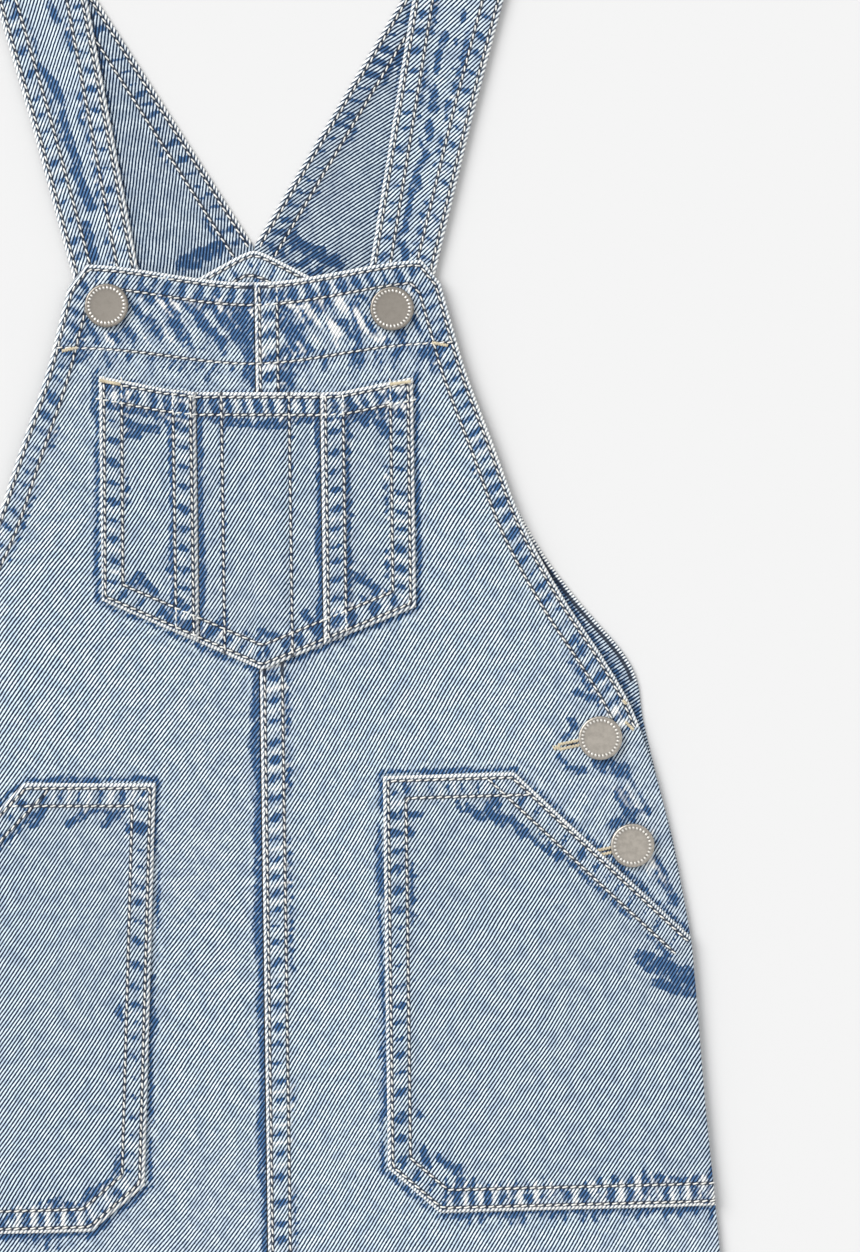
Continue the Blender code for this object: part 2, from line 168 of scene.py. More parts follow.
# Short drag lines, as soft ridges: the bib's top, the side openings, the pockets' corners
CREASES = {
    "from_x": (-44.1, -34.5, -24.8, -15.2, 13.8, 24.0, 39.5, 133.0, 140.0, 137.0, 150.0,
               -133.0, -140.0, -137.0),
    "from_y": (152.6, 153.2, 152.3, 152.9, 149.8, 151.5, 150.0, -30.0, -38.0, -12.0, -66.0,
               -30.0, -38.0, -12.0),
    "to_x": (-34.7, -21.2, -11.5, -5.7, 25.1, 34.0, 41.5, 141.0, 150.0, 148.0, 156.0,
             -141.0, -150.0, -148.0),
    "to_y": (135.0, 136.8, 138.6, 140.4, 134.2, 138.0, 136.0, -45.0, -56.0, -30.0, -84.0,
             -45.0, -56.0, -30.0),
    "rise": (0.5, 0.55, 0.5, 0.5, 0.5, 0.5, 0.45, 0.2, 0.32, 0.3, 0.3,
             0.2, 0.32, 0.3),
    "half_width": (1.6, 1.6, 1.5, 1.4, 1.6, 1.6, 1.4, 3.0, 1.9, 3.6, 3.6,
                   3.0, 1.9, 3.6),
}
SHARP_CREASE = 2.8               # a crease narrower than this keeps its indigo on both sides

# Unfaded patches between rubbed ridges: two ends and a half width, by the piece they lie on.
# Those of a side opening are given for the right side and repeated on the left.
PATCHES = {
    "bib": (
        (-34.9, 154.0, -28.1, 138.0, 3.0), (-7.1, 146.6, -2.6, 137.3, 3.6),
        (-19.2, 142.2, -12.3, 136.3, 2.4), (-43.3, 156.4, -40.3, 153.3, 2.4),
        (-61.7, 140.5, -60.2, 136.6, 1.8), (-48.9, 141.0, -47.1, 137.9, 1.8),
        (-40.4, 145.6, -36.6, 138.6, 2.0), (-24.8, 152.3, -19.2, 143.7, 1.8),
        (-15.2, 152.2, -8.7, 143.6, 2.2), (-69.4, 141.3, -66.8, 138.2, 2.0),
        (-55.9, 139.2, -52.9, 136.9, 1.6), (-65.9, 144.4, -62.9, 141.2, 1.8),
        (18.8, 147.0, 21.0, 143.2, 2.6), (13.6, 140.2, 15.8, 131.6, 3.2),
        (31.8, 143.8, 35.3, 141.8, 1.8), (38.9, 149.1, 40.2, 134.8, 2.2),
        (44.6, 141.3, 46.1, 138.2, 1.8), (56.1, 139.6, 58.0, 135.7, 2.2),
        (61.2, 144.9, 63.8, 138.7, 2.0), (37.9, 132.5, 39.4, 130.5, 1.6),
        (12.7, 126.3, 13.3, 117.8, 2.0), (24.6, 151.6, 26.9, 146.9, 2.2),
        (17.4, 135.9, 19.7, 131.6, 2.2), (50.3, 137.3, 51.8, 135.4, 1.4),
    ),
    "side": (
        (120.8, -12.8, 121.6, -15.1, 2.0), (116.9, -18.9, 119.6, -17.4, 1.5),
        (122.2, -1.2, 128.3, -4.4, 2.0), (117.9, -30.2, 124.4, -32.2, 1.8),
        (129.5, -28.8, 131.8, -31.1, 2.6), (134.5, -27.7, 137.6, -32.0, 2.4),
        (140.7, -30.1, 141.4, -33.2, 1.6), (138.2, -40.1, 142.4, -48.7, 2.4),
        (143.9, -47.1, 149.3, -48.0, 1.3), (135.7, -53.2, 138.1, -50.9, 2.2),
        (115.6, -26.7, 117.9, -29.0, 1.5), (151.8, -66.6, 159.0, -83.0, 2.2),
        (145.8, -81.9, 153.3, -91.7, 1.6),
    ),
    "strap_left": (
        (-91.2, 267.6, -89.0, 262.9, 1.8), (-81.5, 243.9, -77.7, 237.3, 1.8),
        (-77.7, 238.1, -73.6, 230.3, 3.0), (-73.3, 224.9, -70.3, 214.8, 2.6),
        (-71.1, 215.5, -67.7, 205.5, 3.0), (-68.2, 202.8, -62.2, 188.4, 3.2),
        (-65.0, 181.8, -61.7, 169.8, 2.8), (-77.3, 267.4, -74.3, 260.4, 2.4),
        (-71.3, 258.1, -69.0, 250.3, 2.0), (-67.1, 224.0, -65.6, 220.9, 1.5),
        (-59.7, 203.8, -58.6, 199.9, 1.8), (-57.5, 191.4, -56.0, 186.0, 1.6),
    ),
    "strap_right": (
        (82.6, 262.5, 81.8, 258.6, 1.6), (75.5, 253.7, 72.1, 245.6, 2.2),
        (72.7, 245.6, 71.4, 239.4, 2.0), (70.2, 232.5, 70.5, 225.5, 2.6),
        (68.3, 219.4, 68.8, 213.8, 2.4), (75.3, 227.4, 74.9, 221.2, 1.4),
        (65.1, 212.5, 65.4, 210.4, 1.6), (67.5, 208.2, 64.9, 202.8, 2.4),
        (63.2, 199.4, 63.9, 195.1, 2.2), (61.6, 195.1, 58.6, 178.7, 2.0),
        (58.0, 172.5, 58.2, 166.3, 2.4), (71.7, 266.9, 70.1, 256.4, 1.4),
        (84.0, 249.3, 82.3, 239.3, 1.4), (79.4, 252.1, 79.3, 249.8, 1.4),
    ),
    "back": (
        (-28.1, 166.4, -12.2, 173.5, 2.8), (13.4, 176.2, 32.9, 165.1, 3.2),
        (10.6, 168.4, 24.4, 162.0, 1.6), (-4.8, 177.1, -2.9, 174.8, 1.4),
        (-26.2, 165.5, -20.8, 167.3, 2.2), (8.0, 178.5, 16.0, 176.0, 1.6),
    ),
    "hip_right": (
        (57.8, -47.0, 61.2, -47.5, 1.5), (49.9, -47.8, 52.8, -48.4, 1.5),
        (48.3, -53.2, 51.7, -54.8, 1.6), (56.7, -53.4, 57.6, -55.4, 1.2),
        (80.5, -45.3, 85.3, -49.8, 1.8), (87.8, -45.9, 93.2, -50.9, 2.2),
        (96.7, -50.5, 101.5, -55.0, 1.8), (101.5, -55.0, 113.7, -65.5, 1.2),
        (90.4, -41.5, 91.3, -44.0, 1.4), (75.6, -42.8, 77.0, -46.8, 1.2),
        (66.7, -180.1, 72.3, -184.4, 1.4), (73.7, -184.4, 75.0, -192.0, 1.8),
        (60.2, -175.8, 62.0, -182.4, 1.8), (59.0, -162.2, 60.4, -164.1, 1.2),
        (147.0, -104.5, 163.0, -112.0, 3.4), (152.0, -114.0, 166.0, -118.0, 2.0),
    ),
    "hip_left": (
        (-46.0, -50.0, -51.0, -52.0, 1.6), (-56.0, -46.0, -60.0, -50.0, 1.8),
        (-68.0, -45.0, -74.0, -50.0, 1.6), (-84.0, -44.0, -88.0, -49.0, 2.0),
        (-56.0, -178.0, -58.0, -184.0, 1.6), (-64.0, -190.0, -70.0, -194.0, 1.8),
        (-80.0, -194.0, -84.0, -196.0, 1.4), (-55.0, -120.0, -56.0, -124.0, 1.2),
        (-146.0, -113.0, -162.0, -121.0, 3.4),
    ),
    "bib_pocket": (
        (-50.0, 106.0, -46.0, 100.0, 1.8), (-47.0, 104.0, -38.0, 102.0, 1.6),
        (-12.0, 103.8, 12.0, 102.8, 1.0), (38.0, 110.0, 42.0, 104.0, 1.8),
        (46.0, 108.0, 50.0, 100.0, 2.4), (-34.0, 112.0, -30.0, 104.0, 1.4),
        (-30.0, 36.0, -34.0, 30.0, 1.8), (-14.0, 28.0, -18.0, 24.0, 1.8),
        (18.0, 30.0, 22.0, 24.0, 1.8), (-46.0, 46.0, -40.0, 40.0, 1.6),
        (40.0, 44.0, 46.0, 40.0, 1.6), (0.0, 24.0, 6.0, 22.0, 1.4),
    ),
}

# Direction of the twill's wales, in degrees above +X
WALES = {
    "front_left": 53.0, "front_right": 58.0, "hip_pocket_left": 56.0, "hip_pocket_right": 56.0,
    "bib_pocket_left": 55.0, "bib_pocket_middle": 55.0, "bib_pocket_right": 55.0,
    "strap_left": 72.0, "strap_right": 43.0,
    "back_left": 84.0, "back_right": 33.0, "neck_facing": 60.0,
}


def srgb(*levels):
    """A colour given by its 0 to 255 screen levels, as the linear values that Blender takes."""
    shares = [level / 255.0 for level in levels]
    return tuple(c / 12.92 if c <= 0.04045 else ((c + 0.055) / 1.055) ** 2.4 for c in shares)


def length_property(name, description, default):
    """A length that the sidebar shows in the scene's units."""
    return bpy.props.FloatProperty(name=name, description=description, default=default,
                                   min=0.0, unit="LENGTH", precision=5)


def colour_property(name, description, *levels):
    """A colour whose default is given by its screen levels."""
    return bpy.props.FloatVectorProperty(name=name, description=description, size=3,
                                         subtype="COLOR", min=0.0, max=1.0, default=srgb(*levels))


class ShortallsSizes(bpy.types.PropertyGroup):
    """Sizes of the cloth, its weave and its sewing."""
    cloth: length_property("Cloth", "Wall of one layer of denim", 0.0012)
    wale: length_property("Wale", "Distance from one twill line to the next", 0.00124)
    near_row: length_property("Near row", "Folded edge to the first row of stitches", 0.0020)
    far_row: length_property("Far row", "Folded edge to the second row of stitches", 0.0088)
    strap_far_row: length_property("Strap row", "Strap edge to its second row", 0.0078)
    band: length_property("Turned edge", "How much a turned edge stands over the cloth", 0.0005)
    pucker: length_property("Pucker height", "Height of the ridges across a seam", 0.00032)
    pucker_pitch: length_property("Pucker spacing", "Ridge to ridge along a seam", 0.0074)
    stitch: length_property("Stitch", "Length of one stitch", 0.0024)
    stitch_gap: length_property("Stitch gap", "Gap between stitches", 0.0008)
    thread: length_property("Thread", "Diameter of the sewing thread", 0.00062)
    button: length_property("Button", "Diameter of a button", 0.0170)


class ShortallsColours(bpy.types.PropertyGroup):
    """Colours of the wash, the threads and the metal."""
    pale: colour_property("Pale yarn", "Light yarn of the washed twill", 231, 246, 255)
    dark: colour_property("Dark yarn", "Dark yarn of the washed twill", 0, 31, 61)
    deep_pale: colour_property("Pale yarn, unfaded", "Light yarn beside seams", 77, 117, 163)
    deep_dark: colour_property("Dark yarn, unfaded", "Dark yarn beside seams", 0, 26, 55)
    worn_pale: colour_property("Pale yarn, worn", "Light yarn on rubbed edges", 255, 255, 250)
    worn_dark: colour_property("Dark yarn, worn", "Dark yarn on rubbed edges", 34, 56, 84)
    # Colour of the painted shadow along stitch rows, beside raised edges and in the buttonhole
    # slits
    stitch_shadow: colour_property("Stitch shadow", "Where a row of stitches sinks in", 24, 32, 48)
    thread: colour_property("Thread", "Topstitching thread", 240, 239, 234)
    cream: colour_property("Cream thread", "Bar tacks and buttonholes", 219, 206, 178)
    nickel: colour_property("Nickel", "Face of the buttons", 191, 184, 174)
    table: colour_property("Table", "The pale surface underneath", 215, 215, 215)


class ShortallsStage(bpy.types.PropertyGroup):
    """The camera and the lights."""
    lens: bpy.props.FloatProperty(name="Lens", description="Focal length in millimetres",
                                  default=110.0, min=20.0)
    view_height: length_property("View height", "Length of the garment that the picture shows",
                                 0.4837)
    key: bpy.props.FloatProperty(name="Key light", description="Strength of the slanting light",
                                 default=2.45, min=0.0)
    fill: bpy.props.FloatProperty(name="Fill light", description="Strength of the even light",
                                  default=0.82, min=0.0)


def in_millimetres(context):
    """The garment's sizes in millimetres, by their names."""
    sizes = context.scene.shortalls_sizes
    return SimpleNamespace(**{key: getattr(sizes, key) / MM
                              for key in ShortallsSizes.__annotations__})


def smooth_step(value):
    """0 below 0, 1 above 1, and a smooth rise between."""
    t = np.clip(value, 0.0, 1.0)
    return t * t * (3.0 - 2.0 * t)


def between(span, value):
    """A smooth rise from 0 at the start of the span to 1 at its end."""
    return smooth_step((value - span[0]) / (span[1] - span[0]))


def bell(distance, half_width):
    """1 at no distance, falling away on both sides as a bell curve."""
    return np.exp(-(distance / half_width) ** 2)


def cloud(x, y, size, seed):
    """Uneven values from -1 to 1: a fixed number at each corner of a square net, blended smoothly
    between the corners."""
    u, v = x / size + 11.3 * seed, y / size - 7.7 * seed
    i, j = np.floor(u), np.floor(v)
    a, b = smooth_step(u - i), smooth_step(v - j)

    def corner(p, q):
        return np.mod(np.sin(p * 127.1 + q * 311.7 + seed * 74.7) * 43758.5453, 1.0) * 2.0 - 1.0

    low = corner(i, j) * (1 - a) + corner(i + 1, j) * a
    high = corner(i, j + 1) * (1 - a) + corner(i + 1, j + 1) * a
    return low * (1 - b) + high * b


def curve_through(xs, ys, at):
    """A cubic through the points of a table, with the mean slope of its neighbours at each."""
    xs, ys = np.asarray(xs, float), np.asarray(ys, float)
    steps = np.diff(ys) / np.diff(xs)
    slopes = np.concatenate([steps[:1], (steps[:-1] + steps[1:]) / 2, steps[-1:]])
    at = np.clip(at, xs[0], xs[-1])
    i = np.clip(np.searchsorted(xs, at, side="right") - 1, 0, len(xs) - 2)
    width = xs[i + 1] - xs[i]
    t = (at - xs[i]) / width
    return (ys[i] * (2 * t**3 - 3 * t**2 + 1) + ys[i + 1] * (3 * t**2 - 2 * t**3)
            + width * slopes[i] * (t**3 - 2 * t**2 + t) + width * slopes[i + 1] * (t**3 - t**2))


def front_side(y):
    """Half width of the fronts at a height."""
    return curve_through(FRONT_OUTLINE["height"], FRONT_OUTLINE["half"], y)


def back_side(y):
    """Half width of the backs and their straps at a height."""
    return curve_through(BACK_OUTLINE["height"], BACK_OUTLINE["half"], y)


def inseam(y):
    """Distance from the middle to the inner edge: the centre seam, and the inseam below it."""
    return SEAM_GAP / 2 + LEG_PART * np.clip((CROTCH - y) / INSEAM, 0.0, 1.0) ** 1.3


def neck_edge(y):
    """Inner edge of a back: the centre seam, and above the point of the V its straight slope."""
    return np.maximum(inseam(y), SEAM_GAP / 2 + V_SLOPE * (y - V_POINT))


def bib_top(x):
    """The bib's top edge: a dip in the middle, a rise to each corner, and the cut corner."""
    x = np.abs(x)
    corner_x, corner_y = BIB_CORNER
    end_x, end_y = FRONT_OUTLINE["half"][-1], FRONT_OUTLINE["height"][-1]
    share = smooth_step(BIB_CURVE * x / corner_x) / smooth_step(BIB_CURVE)
    rise = BIB_DIP + (corner_y - BIB_DIP) * share
    cut = corner_y + (end_y - corner_y) * (x - corner_x) / (end_x - corner_x)
    return np.where(x < corner_x, rise, cut)


def ridge(x, y, row):
    """One soft ridge along a short line: its height there, and how far away each point is."""
    start_x, start_y, end_x, end_y, rise, half_width = row
    along_x, along_y = end_x - start_x, end_y - start_y
    t = ((x - start_x) * along_x + (y - start_y) * along_y) / (along_x**2 + along_y**2)
    t = np.clip(t, 0.0, 1.0)
    away = np.hypot(x - start_x - t * along_x, y - start_y - t * along_y)
    return rise * bell(away, half_width), away


def front_under(x, y):
    """Underside of the front: high over the strap ends, level in the body, down at the sides."""
    over_straps = between(BIB_EASE, y)
    level = BODY_REST + (BIB_REST - BODY_REST) * over_straps
    to_side = np.clip((front_side(y) - np.abs(x)) / SIDE_ROLL, 0.0, 1.0)
    bend = 1.0 - np.sqrt(1.0 - ROLL_SHARE * (1.0 - to_side) ** 2)
    full_bend = 1.0 - math.sqrt(1.0 - ROLL_SHARE)
    drop = (level - SIDE_REST) * between(SIDE_CLOSE, y) * bend / full_bend
    calm = smooth_step(to_side) * (1.0 - over_straps)
    return level - drop + sum(ridge(x, y, row)[0] for row in zip(*FOLDS.values())) * calm


def measure(path, x, y):
    """For each point: its distance to a path, 1 or -1 for the path's left or right side, and the
    run along the path to the place nearest to it."""
    path = np.asarray(path, float)
    steps = np.diff(path, axis=0)
    lengths = np.hypot(*steps.T)
    starts = np.concatenate([[0.0], np.cumsum(lengths)])
    away = np.full(x.shape, 1e9)
    side, run = np.zeros(x.shape), np.zeros(x.shape)
    for (px, py), (dx, dy), length, start in zip(path, steps, lengths, starts):
        t = np.clip(((x - px) * dx + (y - py) * dy) / length**2, 0.0, 1.0)
        here = np.hypot(x - px - t * dx, y - py - t * dy)
        nearer = here < away
        away = np.where(nearer, here, away)
        run = np.where(nearer, start + t * length, run)
        side = np.where(nearer, np.sign(dx * (y - py) - dy * (x - px)), side)
    return away, side, run


def run_of(path):
    """The whole length of a path, less a hair."""
    return float(np.hypot(*np.diff(np.asarray(path, float), axis=0).T).sum()) - 0.01


def resample(path, spacing):
    """Points evenly spaced along a path, both ends among them."""
    path = np.asarray(path, float)
    run = np.concatenate([[0.0], np.cumsum(np.hypot(*np.diff(path, axis=0).T))])
    at = np.linspace(0.0, run[-1], max(2, int(round(run[-1] / spacing)) + 1))
    return path_of(np.interp(at, run, path[:, 0]), np.interp(at, run, path[:, 1]))


def offset(path, distance):
    """The path moved to its left by a distance, with mitred corners."""
    path = np.asarray(path, float)
    steps = np.diff(path, axis=0)
    normals = np.stack([-steps[:, 1], steps[:, 0]], axis=1) / np.hypot(*steps.T)[:, None]
    before = np.concatenate([normals[:1], normals])
    after = np.concatenate([normals, normals[-1:]])
    return path + distance * (before + after) / (1.0 + (before * after).sum(1))[:, None]


def mirrored(path, side):
    """A path of the right side on the given side: its distances across take the side's sign."""
    return np.asarray(path, float) * (side, 1.0)


def path_of(x, y):
    """Points from their two coordinates."""
    return np.stack([x, y], axis=1)


# Paths of the folded and sewn edges, for the right side

def armhole_path():
    """From the bib's dip out along its top, round the corner and down to the side opening."""
    top_x = np.linspace(0.0, BIB_CORNER[0], 14)
    side_y = np.concatenate([FRONT_OUTLINE["height"][-1:], np.linspace(150.0, -15.0, 34)])
    return np.concatenate([path_of(top_x, bib_top(top_x)), path_of(front_side(side_y), side_y)])


def hip_path(name):
    """Round a hip pocket: its foot, its inner edge, its mouth."""
    return path_of(*HIP_CORNERS[name].values())


def hip_crossing(name, sizes):
    """The second rows of a hip pocket's top and mouth, which run on past their corner to the first
    rows."""
    corners = hip_path(name)
    meeting = offset(corners, -sizes.far_row)[4]
    top, mouth = corners[4] - corners[3], corners[5] - corners[4]
    top, mouth = top / np.hypot(*top), mouth / np.hypot(*mouth)
    beyond = (sizes.far_row - sizes.near_row) / abs(top[0] * mouth[1] - top[1] * mouth[0])
    return np.array([meeting - beyond * mouth, meeting, meeting + beyond * top])


def slits():
    """Inner and outer end of the slits that the side buttons' shanks come through."""
    ends = []
    for node, x, y in zip(*BUTTONS.values()):
        if node.startswith("side"):
            side = np.sign(x)
            ends.append(np.array([(x - side * 17.5, y - 3.6), (x + side * 2.0, y + 0.4)]))
    return ends


def bib_pocket_edge():
    """Down the pocket's left edge, along its foot and up its right edge."""
    return np.array([(BIB_MOUTH["across"][0], BIB_MOUTH["height"][0]),
                     *zip(BIB_FOOT["across"], BIB_FOOT["height"]),
                     (BIB_MOUTH["across"][-1], BIB_MOUTH["height"][-1])])


def bib_pocket_mouth():
    """Along the pocket's mouth, left to right."""
    return path_of(*BIB_MOUTH.values())


def bib_foot(x):
    """Height of the bib pocket's foot at a place across it."""
    return np.interp(x, *BIB_FOOT.values())


def bib_mouth(x):
    """Height of the bib pocket's mouth at a place across it."""
    return np.interp(x, *BIB_MOUTH.values())


def bib_row():
    """The row that holds the bib's facing, which dips in the middle."""
    x = np.linspace(-77.0, 77.0, 25)
    return path_of(x, 134.8 - 7.6 * bell(x, 42.0))


def strap_edges():
    """Inner and outer edge of a front strap, from its end to the shoulder fold."""
    inner, outer, _ = fold_line()
    heights = STRAP_OUTLINE["height"][:-1]
    return [np.concatenate([path_of(STRAP_OUTLINE[name][:-1], heights), corner[None]])
            for name, corner in (("inner", inner), ("outer", outer))]


def fold_line():
    """Inner and outer corner of a strap's shoulder fold, and the way the fold faces."""
    facing = np.array([math.sin(FOLD_TURN), math.cos(FOLD_TURN)])
    inner_y = TOP - (FOLD_RADIUS + STRAP_WALL / 2) * facing[1]
    inner_x = np.interp(inner_y, STRAP_OUTLINE["height"], STRAP_OUTLINE["inner"])
    outer_x, outer_y = np.array(STRAP_OUTLINE["outer"]), np.array(STRAP_OUTLINE["height"])
    beyond = (outer_x - inner_x) * facing[0] + (outer_y - inner_y) * facing[1]
    outer = np.array([np.interp(0.0, beyond, outer_x), np.interp(0.0, beyond, outer_y)])
    return np.array([inner_x, inner_y]), outer, facing


# How sewing, wear and painted shade change a cloth: rise in millimetres, the rest as shares or
# # distances

def bare(x):
    """Plain cloth: no rise, no wear, no seam near."""
    none = np.zeros(x.shape)
    return {"rise": none, "worn": none.copy(), "unfaded_and_shade": none.copy(),
            "edge": none + FAR, "row": none + FAR}


def join(f, seam):
    """A seam's own changes put on a cloth that other seams have changed already."""
    f["rise"], f["unfaded_and_shade"] = f["rise"] + seam["rise"], f["unfaded_and_shade"] + seam["unfaded_and_shade"]
    f["worn"] = np.maximum(f["worn"], seam["worn"])
    f["edge"] = np.minimum(f["edge"], seam["edge"])


def mottle(f, x, y, seed):
    """Slow unevenness of the wash and of how the cloth lies."""
    f["worn"] = f["worn"] + 0.10 * cloud(x, y, 52, seed) + 0.08 * cloud(x, y, 17, seed + 1)
    f["unfaded_and_shade"] = f["unfaded_and_shade"] + 0.16 * smooth_step(0.2 + cloud(x, y, 34, seed + 2))
    f["rise"] = f["rise"] + 0.10 * cloud(x, y, 19, seed + 3) + 0.05 * cloud(x, y, 8, seed + 4)


def sewn_edge(f, x, y, path, inside, sizes, seed, far=None, strength=1.0, stripes=False):
    """A turned edge with two rows. It stands up, puckers between the rows, wears pale along its
    fold and on its ridges, and keeps indigo in the dips: as dots, or as stripes right across."""
    near, far = sizes.near_row, far or sizes.far_row
    away, side, run = measure(path, x, y)
    along = (run > 0) & (run < run_of(path)) & (side * inside >= 0)
    away = np.where(along, away, FAR)
    pitch, none = sizes.pucker_pitch * (0.78 if stripes else 1.0), 0 * run
    phase = run / pitch + 0.40 * cloud(run, none, 27, seed) + 0.16 * cloud(run, none, 9, seed + 1)
    turn = phase - 0.20 * away / pitch
    wave = np.cos(2 * math.pi * turn) * (0.7 + 0.3 * cloud(run, none, 16, seed + 2)) * strength
    window = smooth_step((away - 0.6) / 1.4) * (1 - smooth_step((away - far - 0.5) / 3.5))
    grooves = bell(away - near, 0.7) + bell(away - far, 0.7)
    f["edge"] = np.minimum(f["edge"], away)
    f["rise"] = (f["rise"] + sizes.band * (1 - smooth_step((away - far - 0.4) / 1.8))
                 + sizes.pucker * wave * window - 0.16 * grooves)
    middle, half = (near + far) / 2, (far - near) / 2
    size = 0.8 + 0.5 * cloud(run, none, 8, seed + 4)
    dip = np.abs(np.mod(turn, 1.0) - 0.5) * pitch / (1.6 * np.clip(size, 0.25, 1.2))
    across = (np.abs(away - middle) / (half * (1.2 if stripes else 0.9))) ** 2
    dots = smooth_step((1.75 - dip - across) / 1.2) * (away < far + 1.6)
    flecks = smooth_step((cloud(x, y, 2.4, seed + 6) - 0.15) / 0.6) * window
    uneven = smooth_step(0.45 + 1.1 * cloud(run, none, 12, seed + 3))
    drawn = np.cos(2 * math.pi * (1.5 * phase + 0.3 * cloud(run, none, 7, seed + 5)))
    past = np.clip((away - far - 0.8) / 1.0, 0, 1) * (1 - smooth_step((away - far - 2.0) / 6.5))
    halo = uneven * (bell(away - far - 1.8, 1.4) + 0.9 * past * np.clip(drawn, 0, 1))
    f["worn"] = (f["worn"] + 0.8 * (1 - smooth_step((away - 0.7) / 1.0))
                 + 0.6 * np.clip(wave, 0, 1) * window + 0.12 * window
                 + 0.5 * uneven * past * np.clip(-drawn, 0, 1))
    f["unfaded_and_shade"] = f["unfaded_and_shade"] + 1.05 * dots * strength + 0.3 * flecks + 0.8 * halo


def pleats(f, x, y, path, inside, seed, reach, pitch, depth):
    """Short stripes across a seam, pale on their ridges and dark between, dying away from it."""
    away, side, run = measure(path, x, y)
    none = 0 * run
    phase = run / pitch + 0.35 * cloud(run, none, 19, seed) + 0.1 * away / pitch
    wave = np.cos(2 * math.pi * phase) * (0.75 + 0.25 * cloud(run, none, 9, seed + 1))
    length = reach * (1.0 + 0.35 * cloud(run, none, 5, seed + 2))
    fade = smooth_step(away / 1.5) * (1 - smooth_step((away / length - 0.6) / 0.4))
    fade = fade * depth * (side * inside >= 0) * (run > 0) * (run < run_of(path))
    f["unfaded_and_shade"] = f["unfaded_and_shade"] + 1.4 * fade * np.clip(-wave, 0, 1)
    f["worn"] = f["worn"] + 0.55 * fade * np.clip(wave, 0, 1)
    f["rise"] = f["rise"] + 0.2 * fade * wave


def beside_edge(f, x, y, path, inside, seed, reach=2.5, depth=1.15):
    """Cloth that a folded edge lies on keeps its indigo: an uneven strip along that edge, and a
    bluish haze farther out. On the backs the same strip is painted shade under the straps and
    under the fronts' side openings."""
    away, side, run = measure(path, x, y)
    width = reach * (1.0 + 0.4 * cloud(run, 0 * run, 14, seed) + 0.3 * cloud(x, y, 4, seed + 1))
    strip = depth * (1 - smooth_step((away - 0.5 * width) / np.maximum(width, 0.6)))
    haze = 0.55 * depth * (1 - smooth_step(away / (3.6 * reach)))
    f["unfaded_and_shade"] = np.maximum(f["unfaded_and_shade"], np.where(side * inside >= 0, np.maximum(strip, haze), 0.0))


def painted_gap_shadow(f, x, y, path, inside, width):
    """A painted shadow: a thin dark line along the outside of an edge that stands off the cloth,
    carried in the row distance.
    """
    away, side, _ = measure(path, x, y)
    dark = np.maximum(away - width, 0.0) + 0.3
    f["row"] = np.where(side * inside >= 0, np.minimum(f["row"], dark), f["row"])


def single_row(f, x, y, path, seed):
    """One row of stitches with small puckers across it."""
    away, side, run = measure(path, x, y)
    f["row"] = np.minimum(f["row"], away)
    wave = np.cos(2 * math.pi * (run / 5.5 + 0.4 * cloud(run, 0 * run, 13, seed)))
    near = bell(away, 2.6)
    f["rise"] = f["rise"] + 0.14 * wave * near - 0.15 * bell(away, 0.7)
    f["worn"] = f["worn"] + 0.25 * np.clip(wave, 0, 1) * near
    f["unfaded_and_shade"] = f["unfaded_and_shade"] + 0.45 * np.clip(-wave, 0, 1) * near


def creases(f, x, y, fade):
    """Drag lines: each ridge wears pale, and beside the sharp ones the cloth stays dark."""
    for number, row in enumerate(zip(*CREASES.values())):
        lift, away = ridge(x, y, row)
        f["rise"] = f["rise"] + lift * fade
        f["worn"] = f["worn"] + 1.1 * lift * fade
        if row[5] < SHARP_CREASE:
            uneven = smooth_step(0.5 + cloud(x, y, 4, 151 + number))
            f["unfaded_and_shade"] = f["unfaded_and_shade"] + 0.8 * fade * uneven * bell(away - 2.0 * row[5], 0.8 * row[5])


def patches(f, x, y, rows, seed, size=1.0):
    """Unfaded patches with torn edges, each a short thick line."""
    torn = 1.0 + 0.35 * cloud(x, y, 2.6, seed) + 0.2 * cloud(x, y, 1.3, seed + 1)
    for *line, half_width in rows:
        _, away = ridge(x, y, (*line, 1.0, half_width))
        edge = away * torn / (size * half_width)
        f["unfaded_and_shade"] = np.maximum(f["unfaded_and_shade"], smooth_step((1.7 - edge) / 0.9))


def streaks(x, y, angle, length, width, seed):
    """Uneven values drawn out along one direction."""
    turn = math.radians(angle)
    along = math.cos(turn) * x + math.sin(turn) * y
    across = math.cos(turn) * y - math.sin(turn) * x
    return cloud(along * width / length, across, width, seed)


def lap(f, away):
    """A felled seam's extra layers, away from its folded edge."""
    f["rise"] = f["rise"] + LAP_RISE * (1 - smooth_step((away - LAP_WIDTH) / 2.0))


def under_pocket(x, y, name):
    """1 well inside a hip pocket's outline and 0 outside it."""
    away, side, _ = measure(hip_path(name), np.abs(x), y)
    return smooth_step(np.where(side < 0, away, -away) / 3.0)


def under_bib_pocket(x, y):
    """1 well inside the bib pocket's outline and 0 outside it."""
    left, right = BIB_MOUTH["across"][0] - 0.3, BIB_FOOT["across"][-1]
    inside = np.minimum(np.minimum(x - left, right - x),
                        np.minimum(y - bib_foot(x), bib_mouth(x) - y))
    return smooth_step(inside / 3.0)


def felled_ridge(x, y):
    """The centre front seam under whatever is sewn on it: a low flat ridge on its right."""
    return LAP_RISE * smooth_step((x + 1.5) / 2.0) * (1 - smooth_step((x - 10.0) / 2.0))


def drag(f, x, y, zone, angle, seed, depth):
    """Streaks of pale ridges and dark dips drawn one way, inside a zone."""
    streak = streaks(x, y, angle, 13.0, 2.2, seed) + 0.5 * streaks(x, y, angle, 6.0, 1.3, seed + 1)
    f["unfaded_and_shade"] = f["unfaded_and_shade"] + zone * depth * smooth_step((streak - 0.2) / 0.35)
    f["worn"] = f["worn"] + zone * depth * 1.1 * smooth_step((-0.2 - streak) / 0.4)
    f["rise"] = f["rise"] - zone * 0.2 * streak


